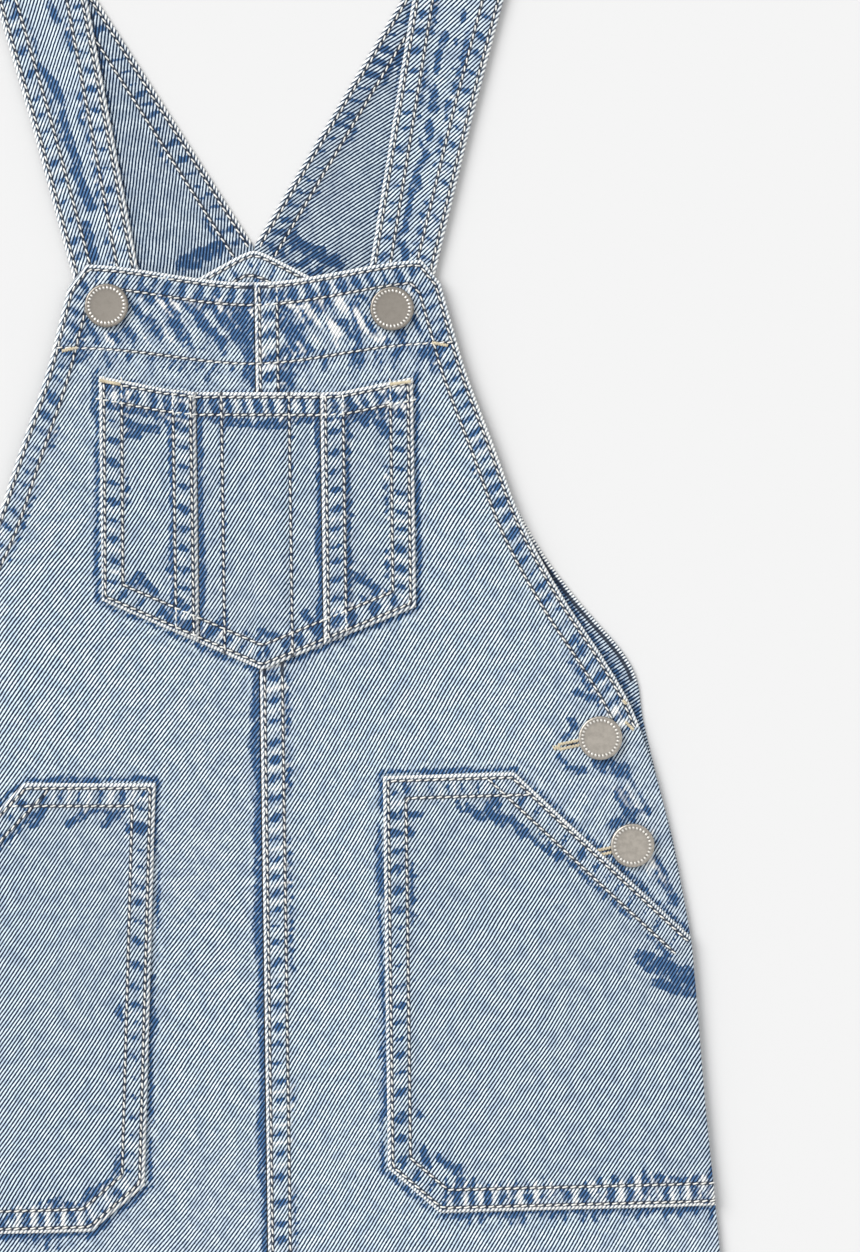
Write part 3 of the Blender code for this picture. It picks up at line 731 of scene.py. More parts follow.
def front_fields(x, y, side, sizes):
    """Everything that shapes and colours a front, as functions of the place on it."""
    f = bare(x)
    mottle(f, x, y, 3 + side)
    centre = np.array([(0.0, CROTCH - 2.0), (0.0, BIB_DIP)])
    row_y = np.interp(x, *bib_row().T)
    top_band = bib_top(x) - y - sizes.far_row
    on_bib = smooth_step((y - row_y - 0.5) / 2.0) * smooth_step((top_band - 0.5) / 2.0)
    on_bib = on_bib * (1 - smooth_step((np.abs(x) - 63.0) / 4.0))
    drag(f, x, y, on_bib, -58.0, 205 + side, 0.7)
    below_row = smooth_step((row_y - y) / 1.5) * (1 - smooth_step((row_y - y - 3.0) / 13.0))
    tufts = 0.5 + 0.5 * streaks(x, y, 84.0, 9.0, 2.4, 211 + side)
    f["unfaded_and_shade"] = f["unfaded_and_shade"] + 1.0 * below_row * tufts * (np.abs(x) < 72.0)
    opening = (between((104.0, 116.0), np.abs(x)) * between((-92.0, -70.0), y)
               * (1 - between((-4.0, 10.0), y)))
    drag(f, x, y, opening, -60.0 * side, 215 + side, 0.3)
    patches(f, x, y, PATCHES["bib"], 221, size=0.7)
    patches(f, side * x, y, PATCHES["side"], 223 + side, size=0.85)
    sewn_edge(f, x, y, mirrored(armhole_path(), side), -side, sizes, 21 + side, stripes=True)
    if side > 0:
        seam = bare(x)
        sewn_edge(seam, x, y, centre, -1, sizes, 31, strength=1.1)
        join(f, seam)
    else:
        beside_edge(f, x, y, centre, 1, 33, reach=3.0)
    single_row(f, x, y, bib_row(), 41 + side)
    pocket = mirrored(hip_path(NAMES[side]), side)
    beside_edge(f, x, y, pocket, side, 51 + side)
    pleats(f, x, y, pocket[:2], side, 245 + side, 8.0, 5.4, 0.8)
    beside_edge(f, x, y, bib_pocket_edge(), -1, 61)
    beside_edge(f, x, y, bib_pocket_mouth(), 1, 63, reach=1.8, depth=0.7)
    hidden = np.maximum(under_pocket(x, y, NAMES[side]), under_bib_pocket(x, y))
    creases(f, x, y, 1 - hidden)
    # Painted shade: each buttonhole slit is a dark line in the row distance, the slit itself not
    # cut
    for slit in slits():
        f["row"] = np.minimum(f["row"], measure(slit, x, y)[0] + 0.2)
    # Painted shadow: a thin dark line on the front along the hip pocket's mouth, which stands off
    painted_gap_shadow(f, x, y, pocket[4:], side, 0.5)
    f["rise"] = f["rise"] * (1 - hidden) + felled_ridge(x, y) * hidden * (side > 0)
    f["edge"] = np.where(hidden > 0.5, FAR, f["edge"])
    return settle(f)


def settle(f):
    """Shares kept within their range."""
    f["worn"], f["unfaded_and_shade"] = np.clip(f["worn"], -0.3, 1.0), np.clip(f["unfaded_and_shade"], 0.0, 1.0)
    return f


def front_top(x, y, sizes):
    """Height of a front's face."""
    side = np.where(x < 0, -1, 1)
    left, right = (front_fields(x, y, s, sizes)["rise"] for s in (-1, 1))
    return front_under(x, y) + sizes.cloth + np.where(side < 0, left, right)


def on_front(x, y, sizes):
    """Underside of a piece sewn on the front: just clear of it, over its ridge and folds."""
    return front_under(x, y) + sizes.cloth + LAY_GAP + felled_ridge(x, y)


def hip_fields(x, y, side, sizes):
    """A hip pocket: turned and sewn along its foot, its inner edge and its mouth."""
    name = NAMES[side]
    edge = mirrored(hip_path(name), side)
    f = bare(x)
    mottle(f, x, y, 71 + side)
    sewn_edge(f, x, y, edge, -side, sizes, 75 + side)
    patches(f, x, y, PATCHES[f"hip_{name}"], 231 + side)
    pleats(f, x, y, edge[:2], -side, 241 + side, 16.0, 5.4, 1.1)
    crossing = mirrored(hip_crossing(name, sizes), side)
    f["row"] = np.minimum(f["row"], measure(crossing, x, y)[0])
    return settle(f)


def bib_pocket_fields(x, y, piece, sizes):
    """The bib pocket: its outer edges, the felled seams of its side pieces, and the pen rows."""
    f = bare(x)
    mottle(f, x, y, 83)
    sewn_edge(f, x, y, bib_pocket_edge(), 1, sizes, 85)
    sewn_edge(f, x, y, bib_pocket_mouth(), -1, sizes, 87, stripes=True)
    patches(f, x, y, PATCHES["bib_pocket"], 235)
    below_mouth = bib_mouth(x) - y - sizes.far_row - 0.8
    drawn = 0.75 + 0.35 * streaks(x, y, 80.0, 8.0, 2.4, 237)
    f["unfaded_and_shade"] = f["unfaded_and_shade"] + drawn * (below_mouth > 0) * (1 - smooth_step((below_mouth - 1.2) / 3.0))
    for number, (seam_x, inside) in enumerate(zip(BIB_SEAMS, (1, -1))):
        seam = [(seam_x, 0.0), (seam_x, 130.0)]
        if piece == NAMES[-inside]:
            band = bare(x)
            sewn_edge(band, x, y, seam, inside, sizes, 90 + number)
            join(f, band)
            lap(f, np.abs(x - seam_x))
            beyond = np.array(seam) - (inside * LAP_WIDTH, 0.0)
            beside_edge(f, x, y, beyond, inside, 93 + number, reach=1.6, depth=1.0)
        elif piece == "middle":
            beside_edge(f, x, y, seam, -inside, 95 + number)
    if piece == "middle":
        for number, row_x in enumerate(PEN_ROWS):
            single_row(f, x, y, [(row_x, 12.0), (row_x, 117.0)], 97 + number)
            f["unfaded_and_shade"] = f["unfaded_and_shade"] + 0.5 * bell(np.abs(x - row_x), 2.6)
    return settle(f)


def strap_fields(x, y, side, sizes):
    """A front strap: both long edges turned and sewn with two rows, and a long soft buckle."""
    f = bare(x)
    mottle(f, x, y, 103 + side)
    inner, outer = (mirrored(edge, side) for edge in strap_edges())
    for number, (edge, inside) in enumerate(((inner, -side), (outer, side))):
        sewn_edge(f, x, y, edge, inside, sizes, 107 + 5 * number + side,
                  far=sizes.strap_far_row, strength=0.9)
    patches(f, x, y, PATCHES[f"strap_{NAMES[side]}"], 117 + side, size=0.62)
    return settle(f)


def back_fields(x, y, side, sizes):
    """A back: the inside of the cloth, with a turned hem along the neck and the armhole."""
    f = bare(x)
    mottle(f, x, y, 123 + side)
    neck = mirrored([(0.0, V_POINT), (neck_edge(300.0), 300.0)], side)
    sewn_edge(f, x, y, neck, -side, sizes, 127 + side, strength=0.9, stripes=True)
    arm_y = np.linspace(300.0, 2.0, 50)
    arm = mirrored(path_of(back_side(arm_y), arm_y), side)
    sewn_edge(f, x, y, arm, -side, sizes, 133 + side, strength=0.6)
    patches(f, x, y, PATCHES["back"], 139, size=0.9)
    strap = mirrored(strap_edges()[0], side)
    # Painted shadow of the strap: a dark strip on the back along the strap's inner edge
    beside_edge(f, x, y, strap, side, 145 + side, reach=1.3, depth=0.8)
    if side < 0:
        # Painted shadow: a thin dark line on the left back beside the strap's inner edge
        painted_gap_shadow(f, x, y, strap, side, 0.5)
    # Painted shade on the back where the front's side opening lies over it
    opening_y = np.linspace(60.0, -16.0, 20)
    opening = mirrored(path_of(front_side(opening_y), opening_y), side)
    beside_edge(f, x, y, opening, side, 147 + side, reach=3.0, depth=0.9)
    return settle(f)


def facing_top(x):
    """Upper edge of the neck facing: straight slopes from a blunt point."""
    return FACING_TOP - FACING_SLOPE * (np.hypot(x, FACING_POINT) - FACING_POINT)


def facing_path():
    """Along the neck facing's upper edge, left to right."""
    x = np.linspace(-FACING_HALF, FACING_HALF, 33)
    return path_of(x, facing_top(x))


def facing_fields(x, y, sizes):
    """The neck facing: its upper edge turned and sewn, and a curved row across it."""
    f = bare(x)
    mottle(f, x, y, 141)
    sewn_edge(f, x, y, facing_path(), -1, sizes, 143, strength=0.7)
    single_row(f, x, y, FACING_ARC, 149)
    return settle(f)


# Cloth as a closed wall

def spaced(total, step, fine, start, end):
    """Shares of a length: close steps for a rounded rim, fine steps near the ends, and wider ones
    between."""
    rim = [0.0, 0.15, 0.45, 0.9]
    first = rim + list(np.arange(rim[-1] + fine, max(start, rim[-1]) + fine, fine))
    last = rim + list(np.arange(rim[-1] + fine, max(end, rim[-1]) + fine, fine))
    count = max(2, int(round((total - first[-1] - last[-1]) / step)) + 1)
    middle = np.linspace(first[-1], total - last[-1], count)
    return np.concatenate([first[:-1], middle, total - np.array(last[:-1])[::-1]]) / total


def sheet_points(inner, outer, low, high, columns, rows):
    """A ruled sheet: rows run from the low edge to the high one, columns from inner to outer."""
    u, w = np.meshgrid(columns, rows)
    foot, head = low(0 * u), high(0 * u)
    for _ in range(40):
        foot = low(inner(foot) + u * (outer(foot) - inner(foot)))
        head = high(inner(head) + u * (outer(head) - inner(head)))
    y = foot + w * (head - foot)
    return inner(y) + u * (outer(y) - inner(y)), y


def rim_distance(points):
    """How far each grid point lies inside the sheet's four edges, square to each edge."""
    flat = points[..., :3]
    nearest = np.full(flat.shape[:2], 1e9)
    for axis, index in ((1, 0), (1, -1), (0, 0), (0, -1)):
        edge = np.take(flat, [index], axis=axis)
        way = np.gradient(edge, axis=1 - axis)
        way = way / np.maximum(np.linalg.norm(way, axis=-1, keepdims=True), 1e-9)
        gap = flat - edge
        gap = gap - (gap * way).sum(-1, keepdims=True) * way
        nearest = np.minimum(nearest, np.linalg.norm(gap, axis=-1))
    return nearest


def put_mesh(name, points, faces, uv=None, values=None):
    """Arrays into a mesh: points in millimetres, faces of four corners each."""
    mesh = bpy.data.meshes.new(name)
    mesh.vertices.add(len(points))
    mesh.vertices.foreach_set("co", (points * MM).astype(np.float32).ravel())
    mesh.loops.add(faces.size)
    mesh.loops.foreach_set("vertex_index", faces.astype(np.int32).ravel())
    mesh.polygons.add(len(faces))
    mesh.polygons.foreach_set("loop_start", np.arange(len(faces), dtype=np.int32) * faces.shape[1])
    mesh.update(calc_edges=True)
    if uv is not None:
        layer = mesh.uv_layers.new(name="Weave")
        layer.data.foreach_set("uv", uv[faces.ravel()].astype(np.float32).ravel())
    for key, value in (values or {}).items():
        mesh.attributes.new(key, "FLOAT", "POINT").data.foreach_set("value",
                                                                    value.astype(np.float32))
    mesh.shade_smooth()
    piece = bpy.data.objects.new(name, mesh)
    bpy.context.scene.collection.objects.link(piece)
    return piece


def weave_uv(x, y, angle, wale):
    """Across and along the twill's wales, in wales, with a slow drift in their direction."""
    turn = math.radians(angle)
    drift = 2.2 * cloud(x, y, 70, 5) + 0.35 * cloud(x, y, 17, 6)
    across = -math.sin(turn) * x + math.cos(turn) * y + drift
    along = math.cos(turn) * x + math.sin(turn) * y
    return np.stack([across, along], axis=-1) / wale


def cloth(name, centre, wall, fields, angle, sizes):
    """A closed wall round a centre surface. Each face is moved half the wall along the normal,
    less towards the rim by the profile of a half circle, and the upper face also by the rise."""
    rows, columns = centre.shape[:2]
    normal = np.cross(np.gradient(centre, axis=1), np.gradient(centre, axis=0))
    flip = normal[rows // 3, columns // 2, 2] < 0
    normal = (-normal if flip else normal) / np.linalg.norm(normal, axis=-1, keepdims=True)
    rim = rim_distance(centre)
    half = wall / 2
    profile = np.sqrt(1 - (1 - np.clip(rim / half, 0, 1)) ** 2)[..., None] * half
    rise = (fields["rise"] * np.clip(rim / 1.4, 0, 1))[..., None]
    top = (centre + normal * (profile + rise)).reshape(-1, 3)
    bottom = (centre - normal * profile).reshape(-1, 3)
    upper = np.arange(rows * columns).reshape(rows, columns)
    inside = np.zeros((rows, columns), bool)
    inside[1:-1, 1:-1] = True
    lower = upper.copy()
    lower[inside] = rows * columns + np.arange(inside.sum())

    def quads(ids):
        return np.stack([ids[:-1, :-1], ids[:-1, 1:], ids[1:, 1:], ids[1:, :-1]], -1).reshape(-1, 4)

    over, under = quads(upper), quads(lower)[:, ::-1]
    if flip:
        over, under = over[:, ::-1], under[:, ::-1]
    keep = inside.ravel()
    uv = weave_uv(centre[..., 0], centre[..., 1], angle, sizes.wale).reshape(-1, 2)
    values = {key: fields[key].ravel() for key in ("worn", "unfaded_and_shade", "edge", "row")}
    values = {key: np.concatenate([value, value[keep]]) for key, value in values.items()}
    return put_mesh(name, np.concatenate([top, bottom[keep]]), np.concatenate([over, under]),
                    np.concatenate([uv, uv[keep]]), values)


def add_cloth(node, finish, centre, wall, fields, sizes):
    """The piece that stands for a cloth node, built round its centre surface with its finish; the
    node itself is hidden."""
    piece = cloth(f"{node}_cloth", centre, wall, fields, WALES[node], sizes)
    piece.data.materials.append(material(finish))
    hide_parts(node)
    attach(piece, "root")


def with_height(x, y, z):
    """Places in space from a plan and its heights."""
    return np.stack([x, y, z + 0 * x], axis=-1)


def fixed_edge(place):
    """A straight edge of a sheet: the same place all along it."""
    return lambda at: place + 0 * at


# Shader groups

def new_group(name, inputs, outputs):
    """A shader node group with named sockets. inputs are (name, kind, default)."""
    group = bpy.data.node_groups.new(name, "ShaderNodeTree")
    for socket, kind, default in inputs:
        made = group.interface.new_socket(socket, in_out="INPUT", socket_type=kind)
        if default is not None:
            made.default_value = default
    for socket, kind in outputs:
        group.interface.new_socket(socket, in_out="OUTPUT", socket_type=kind)
    return group, group.nodes.new("NodeGroupInput"), group.nodes.new("NodeGroupOutput")


class Nodes:
    """Short ways to add nodes to a tree and join them."""

    def __init__(self, tree):
        self.tree = tree

    def add(self, kind, **settings):
        """A new node with the given settings."""
        node = self.tree.nodes.new(kind)
        for key, value in settings.items():
            setattr(node, key, value)
        return node

    def put(self, socket, value):
        """Join an output to a socket, or set the socket to a value."""
        if isinstance(value, bpy.types.NodeSocket):
            self.tree.links.new(value, socket)
        else:
            socket.default_value = value

    def math(self, operation, *values, clamp=False):
        """One sum, product or other operation on values."""
        node = self.add("ShaderNodeMath", operation=operation, use_clamp=clamp)
        for socket, value in zip(node.inputs, values):
            self.put(socket, value)
        return node.outputs[0]

    def mix(self, share, first, second):
        """A colour between the first, at share 0, and the second, at share 1."""
        node = self.add("ShaderNodeMix", data_type="RGBA")
        self.put(node.inputs["Factor"], share)
        self.put(node.inputs[6], first)
        self.put(node.inputs[7], second)
        return node.outputs[2]

    def ramp(self, value, low, high, new_low=0.0, new_high=1.0):
        """Smooth change from new_low to new_high as the value goes from low to high."""
        node = self.add("ShaderNodeMapRange", interpolation_type="SMOOTHSTEP")
        for socket, number in zip(node.inputs, (value, low, high, new_low, new_high)):
            self.put(socket, number)
        return node.outputs[0]

    def noise(self, vector, scale, detail=2.0, roughness=0.5):
        """Uneven values round a half."""
        node = self.add("ShaderNodeTexNoise")
        self.put(node.inputs["Vector"], vector)
        node.inputs["Scale"].default_value = scale
        node.inputs["Detail"].default_value = detail
        node.inputs["Roughness"].default_value = roughness
        return node.outputs[0]

    def attribute(self, name):
        """A value that the mesh carries at its points."""
        return self.add("ShaderNodeAttribute", attribute_name=name).outputs["Fac"]

    def group(self, tree, **values):
        """A shader group in place, with its own values; _ stands for a blank in a socket's name."""
        node = self.add("ShaderNodeGroup", node_tree=tree)
        for key, value in values.items():
            self.put(node.inputs[key.replace("_", " ")], value)
        return node


def twill_group():
    """Diagonal wales: a wave across them, broken by uneven floats along each wale."""
    group, source, result = new_group(
        "Twill weave",
        (("Weave", "NodeSocketVector", None), ("Contrast", "NodeSocketFloat", 1.0)),
        (("Yarn", "NodeSocketFloat"), ("Relief", "NodeSocketFloat")))
    n = Nodes(group)
    weave = source.outputs["Weave"]
    parts = n.add("ShaderNodeSeparateXYZ")
    n.put(parts.inputs[0], weave)
    across, along = parts.outputs[0], parts.outputs[1]
    drift = n.math("MULTIPLY", n.math("SUBTRACT", n.noise(weave, 0.3, 3.0), 0.5), 0.3)
    wale = n.math("ADD", across, drift)
    wave = n.math("COSINE", n.math("MULTIPLY", wale, 2 * math.pi))
    place = n.add("ShaderNodeCombineXYZ")
    n.put(place.inputs[0], n.math("MULTIPLY", n.math("ROUND", wale), 5.37))
    n.put(place.inputs[1], n.math("MULTIPLY", along, 1.1))
    floats = n.math("SUBTRACT", n.noise(place.outputs[0], 1.0, 1.5), 0.5)
    fibre = n.math("SUBTRACT", n.noise(weave, 3.4, 2.0, 0.65), 0.5)
    broken = n.math("ADD", n.math("MULTIPLY", floats, 1.25), n.math("MULTIPLY", fibre, 0.7))
    sway = n.math("MULTIPLY", wave, source.outputs["Contrast"])
    paleness = n.math("ADD", n.math("ADD", 0.5, sway), broken, clamp=True)
    n.put(result.inputs["Yarn"], n.math("POWER", paleness, 1.3))
    n.put(result.inputs["Relief"], n.math("ADD", n.math("MULTIPLY", wave, 0.5),
                                          n.math("MULTIPLY", broken, 0.5)))
    return group


def wash_group(colours):
    """The wash: pale and dark yarn, deeper beside seams and in a faint haze, rubbed pale on
    ridges, with painted shade in the deeper share in places, and a nearly black painted shadow
    along the rows of stitches, beside raised edges and in the buttonhole slits."""
    names = ("Pale", "Dark", "Deep pale", "Deep dark", "Worn pale", "Worn dark")
    keys = ("pale", "dark", "deep_pale", "deep_dark", "worn_pale", "worn_dark")
    inputs = [("Yarn", "NodeSocketFloat", 0.5), ("Worn", "NodeSocketFloat", 0.0),
              ("Deep", "NodeSocketFloat", 0.0), ("Line", "NodeSocketFloat", 0.0),
              ("Patches", "NodeSocketFloat", 0.5), ("Haze", "NodeSocketFloat", 0.0)]
    inputs += [(name, "NodeSocketColor", (*getattr(colours, key), 1.0))
               for name, key in zip(names, keys)]
    group, source, result = new_group("Washed denim", inputs, (("Color", "NodeSocketColor"),))
    n = Nodes(group)
    read = source.outputs
    torn = n.math("SUBTRACT", read["Patches"], 0.5)
    worn = n.math("ADD", read["Worn"], n.math("MULTIPLY", torn, 0.9), clamp=True)
    held = n.math("MULTIPLY", n.math("SUBTRACT", read["Yarn"], 0.45), 0.4)
    reach = n.math("SUBTRACT", n.math("ADD", read["Deep"], n.math("MULTIPLY", torn, -2.0)), held)
    faint = n.math("ADD", n.math("MULTIPLY", read["Deep"], 0.3),
                   n.math("MULTIPLY", read["Haze"], 0.34))
    unfaded_and_shade = n.math("MAXIMUM", n.ramp(reach, 0.36, 0.80), faint)
    bleach = n.ramp(worn, 0.3, 1.0, 0.0, 0.42)
    rim = n.math("MULTIPLY", n.ramp(read["Deep"], 0.22, 0.5, 0.0, 0.3),
                 n.math("SUBTRACT", 1.0, unfaded_and_shade))
    lighter = n.math("ADD", n.math("ADD", read["Yarn"], bleach), rim, clamp=True)
    plain = n.mix(lighter, read["Dark"], read["Pale"])
    blue = n.mix(read["Yarn"], read["Deep dark"], read["Deep pale"])
    rubbed = n.mix(lighter, read["Worn dark"], read["Worn pale"])
    colour = n.mix(unfaded_and_shade, plain, blue)
    colour = n.mix(n.ramp(worn, 0.3, 0.95), colour, rubbed)
    # Painted shadow: the stitch shadow colour along stitch rows, beside raised edges and in the
    # slits
    colour = n.mix(n.math("MULTIPLY", read["Line"], 0.9), colour, (*colours.stitch_shadow, 1.0))
    n.put(result.inputs["Color"], colour)
    return group


def stitch_shadow_group():
    """Painted shadow: a dark line where a row of stitches sinks in and its thread shades the
    cloth, from the distances to the seams and rows. The row distance also carries painted shadow
    lines beside raised edges and the buttonhole slits.
    """
    group, source, result = new_group(
        "Painted stitch shadow",
        (("Edge", "NodeSocketFloat", FAR), ("Row", "NodeSocketFloat", FAR),
         ("Near", "NodeSocketFloat", 2.0), ("Far", "NodeSocketFloat", 9.0)),
        (("Line", "NodeSocketFloat"),))
    n = Nodes(group)
    read = source.outputs
    gaps = [n.math("ABSOLUTE", n.math("SUBTRACT", read["Edge"], read["Near"])),
            n.math("ABSOLUTE", n.math("SUBTRACT", read["Edge"], read["Far"])),
            n.math("ABSOLUTE", read["Row"])]
    nearest = n.math("MINIMUM", n.math("MINIMUM", gaps[0], gaps[1]), gaps[2])
    n.put(result.inputs["Line"], n.ramp(nearest, 0.42, 0.95, 1.0, 0.0))
    return group


def new_material(name, **settings):
    """A material, short ways to its nodes, and its Principled shader with the given settings; _
    stands for a blank in a socket's name."""
    finish = bpy.data.materials.new(name)
    finish.use_nodes = True
    shader = finish.node_tree.nodes["Principled BSDF"]
    for key, value in settings.items():
        shader.inputs[key.replace("_", " ")].default_value = value
    return finish, Nodes(finish.node_tree), shader


def add_relief(n, shader, height, strength, distance):
    """A bump from a height, with its depth in metres."""
    bump = n.add("ShaderNodeBump")
    bump.inputs["Strength"].default_value = strength
    bump.inputs["Distance"].default_value = distance
    n.put(bump.inputs["Height"], height)
    n.put(shader.inputs["Normal"], bump.outputs[0])


def denim_material(name, near, far, contrast=1.0, shade=0.0):
    """Denim with its weave along the piece's own map. shade darkens the whole cloth."""
    finish, n, shader = new_material(name, Specular_IOR_Level=0.25, Sheen_Weight=0.12,
                                     Sheen_Roughness=0.5)
    weave = n.add("ShaderNodeUVMap", uv_map="Weave").outputs[0]
    twill = n.group(bpy.data.node_groups["Twill weave"], Weave=weave, Contrast=contrast)
    line = n.group(bpy.data.node_groups["Painted stitch shadow"], Edge=n.attribute("edge"),
                   Row=n.attribute("row"), Near=near, Far=far)
    drawn = n.add("ShaderNodeMapping")
    drawn.inputs["Scale"].default_value = (1.0, 0.42, 1.0)
    n.put(drawn.inputs["Vector"], weave)
    torn = n.noise(drawn.outputs[0], 0.85, 4.0, 0.65)
    haze = n.ramp(n.noise(weave, 0.24, 3.0, 0.6), 0.36, 0.68)
    yarn = n.math("SUBTRACT", twill.outputs["Yarn"], shade)
    wash = n.group(bpy.data.node_groups["Washed denim"], Yarn=yarn, Worn=n.attribute("worn"),
                   Deep=n.attribute("unfaded_and_shade"), Line=line.outputs[0], Patches=torn, Haze=haze)
    n.put(shader.inputs["Base Color"], wash.outputs[0])
    n.put(shader.inputs["Roughness"], n.ramp(twill.outputs["Yarn"], 0.0, 1.0, 0.92, 0.8))
    add_relief(n, shader, twill.outputs["Relief"], 0.55, 0.00012)
    return finish


def thread_material(name, colour):
    """Matt twisted thread, a little uneven and soiled by the wash."""
    finish, n, shader = new_material(name, Roughness=0.75, Specular_IOR_Level=0.3)
    place = n.add("ShaderNodeTexCoord").outputs["Object"]
    darker = tuple(0.82 * c for c in colour)
    soiled = n.ramp(n.noise(place, 260.0, 2.0), 0.35, 0.7)
    n.put(shader.inputs["Base Color"], n.mix(soiled, (*darker, 1.0), (*colour, 1.0)))
    add_relief(n, shader, n.noise(place, 2600.0, 1.0), 0.5, 0.0001)
    return finish


def nickel_material(name, colour):
    """Satin nickel: fine brushing, small dull patches, a sunken ring and its bright ticks, and a
    painted dimmer reflection on the bib buttons.
    """
    finish, n, shader = new_material(name, Metallic=1.0)
    place = n.add("ShaderNodeTexCoord").outputs["Object"]
    dull = n.noise(place, 420.0, 3.0, 0.6)
    darker = tuple(0.72 * c for c in colour)
    tone = n.mix(n.ramp(dull, 0.3, 0.75), (*colour, 1.0), (*darker, 1.0))
    # The shade mix is a painted dimmer reflection over the whole face of the bib buttons
    for mark, share, other in (("ring", 0.45, NICKEL_RING), ("shade", 0.45, NICKEL_SHADE),
                               ("tick", 0.8, NICKEL_TICK)):
        tone = n.mix(n.math("MULTIPLY", n.attribute(mark), share), tone, other)
    n.put(shader.inputs["Base Color"], tone)
    n.put(shader.inputs["Roughness"], n.ramp(dull, 0.3, 0.8, 0.34, 0.5))
    add_relief(n, shader, n.noise(place, 5200.0, 2.0), 0.25, 0.00003)
    return finish


def material(name):
    """A material by name, made with its groups on first use."""
    if name in bpy.data.materials:
        return bpy.data.materials[name]
    sizes, colours = in_millimetres(bpy.context), bpy.context.scene.shortalls_colours
    if "Twill weave" not in bpy.data.node_groups:
        twill_group()
        wash_group(colours)
        stitch_shadow_group()
    near, far, strap_far = sizes.near_row, sizes.far_row, sizes.strap_far_row
    maker, *values = {
        "front_cloth": (denim_material, near, far, 1.0, 0.045),
        "pocket_cloth": (denim_material, near, far, 1.7, 0.13),
        "strap_cloth": (denim_material, near, strap_far, 1.5, 0.05),
        "back_cloth": (denim_material, near, far, 1.1, 0.24),
        "facing_cloth": (denim_material, near, FAR),
        "topstitch_thread": (thread_material, tuple(colours.thread)),
        "cream_thread": (thread_material, tuple(colours.cream)),
        "nickel_face": (nickel_material, tuple(colours.nickel)),
    }[name]
    return maker(name, *values)


# Sewing

def stitches(rows, sizes):
    """Stitches along rows of places in space. Each stitch is a short rod with pinched ends: rings
    of six points whose width and height follow a half circle, laid along the row."""
    length, gap = sizes.stitch, sizes.stitch_gap
    middles, ways = [], []
    for row in rows:
        run = np.concatenate([[0.0], np.cumsum(np.linalg.norm(np.diff(row, axis=0), axis=1))])
        count = max(1, int(run[-1] / (length + gap)))
        at = (np.arange(count) + 0.5) * run[-1] / count
        ends = [np.stack([np.interp(at + shift, run, row[:, k]) for k in range(3)], axis=1)
                for shift in (-length / 2, length / 2)]
        middles.append((ends[0] + ends[1]) / 2)
        way = ends[1] - ends[0]
        ways.append(way + LEAN * np.stack([-way[:, 1], way[:, 0], 0 * way[:, 0]], axis=1))
    middles, ways = np.concatenate(middles), np.concatenate(ways)
    spans = np.linalg.norm(ways, axis=1, keepdims=True)
    ways = ways / np.maximum(spans, 1e-6)
    return rods(middles, ways, np.full(len(ways), length), sizes.thread / 2)


def rods(middles, ways, lengths, radius):
    """Points and faces of many short rods, 6 sided, with rounded ends and a low arch."""
    across = np.stack([-ways[:, 1], ways[:, 0], 0 * ways[:, 0]], axis=1)
    across = across / np.maximum(np.linalg.norm(across, axis=1, keepdims=True), 1e-6)
    up = np.cross(ways, across)
    stations = np.array([-0.5, -0.36, 0.0, 0.36, 0.5])
    widths = np.array([0.35, 0.95, 1.0, 0.95, 0.35])
    arch = np.array([-0.9, 0.0, 0.35, 0.0, -0.9])
    angles = np.arange(6) * math.pi / 3
    ring = np.stack([np.cos(angles), np.sin(angles)], axis=1)
    local = np.empty((len(stations), 6, 3))
    local[..., 1] = widths[:, None] * ring[:, 0] * radius
    local[..., 2] = (widths[:, None] * ring[:, 1] + arch[:, None]) * radius
    points = (middles[:, None, None] + local[None, ..., 1, None] * across[:, None, None]
              + local[None, ..., 2, None] * up[:, None, None]
              + stations[None, :, None, None] * lengths[:, None, None, None]
              * ways[:, None, None])
    ids = np.arange(len(stations) * 6).reshape(len(stations), 6)
    around = np.roll(ids, -1, axis=1)
    sides = np.stack([ids[:-1], around[:-1], around[1:], ids[1:]], axis=-1).reshape(-1, 4)
    first, last = ids[0], ids[-1]
    caps = np.array([[first[3], first[2], first[1], first[0]],
                     [first[0], first[5], first[4], first[3]],
                     [last[0], last[1], last[2], last[3]], [last[3], last[4], last[5], last[0]]])
    faces = np.concatenate([sides[:, ::-1], caps[:, ::-1]])
    shift = (np.arange(len(middles)) * len(stations) * 6)[:, None, None]
    return points.reshape(-1, 3), (faces[None] + shift).reshape(-1, 4)


def sewing_piece(name, made, finish):
    """Sewn threads as one piece, from the points and faces of their rods."""
    piece = put_mesh(name, *made)
    piece.data.materials.append(material(finish))
    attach(piece, "root")


def laid_on(path, height, lift):
    """A path in the plane laid on a surface, a little above it."""
    path = resample(path, ROW_SPACING)
    return with_height(path[:, 0], path[:, 1], height(path[:, 0], path[:, 1]) + lift)


def bar_tack(start, end, width, height, pitch=0.5):
    """A bar tack from start to end: threads laid side by side across the line."""
    start, end = np.array(start, float), np.array(end, float)
    span = np.hypot(*(end - start))
    count = max(2, int(span / pitch))
    at = start + (np.arange(count) + 0.5)[:, None] / count * (end - start)
    way = np.array([-(end - start)[1], (end - start)[0]]) / span
    slant = way + 0.25 * np.where(np.arange(count) % 2, 1, -1)[:, None] * (end - start) / span
    middles = with_height(at[:, 0], at[:, 1], height(at[:, 0], at[:, 1]) + TACK_LIFT)
    ways = np.concatenate([slant, np.zeros((count, 1))], axis=1)
    ways = ways / np.linalg.norm(ways, axis=1, keepdims=True)
    return middles, ways, np.full(count, width)


def tacked_piece(name, tacks, radius):
    """Many bar tacks as one piece of cream thread."""
    joined = [np.concatenate(parts) for parts in zip(*tacks)]
    sewing_piece(name, rods(*joined, radius), "cream_thread")


# Operators

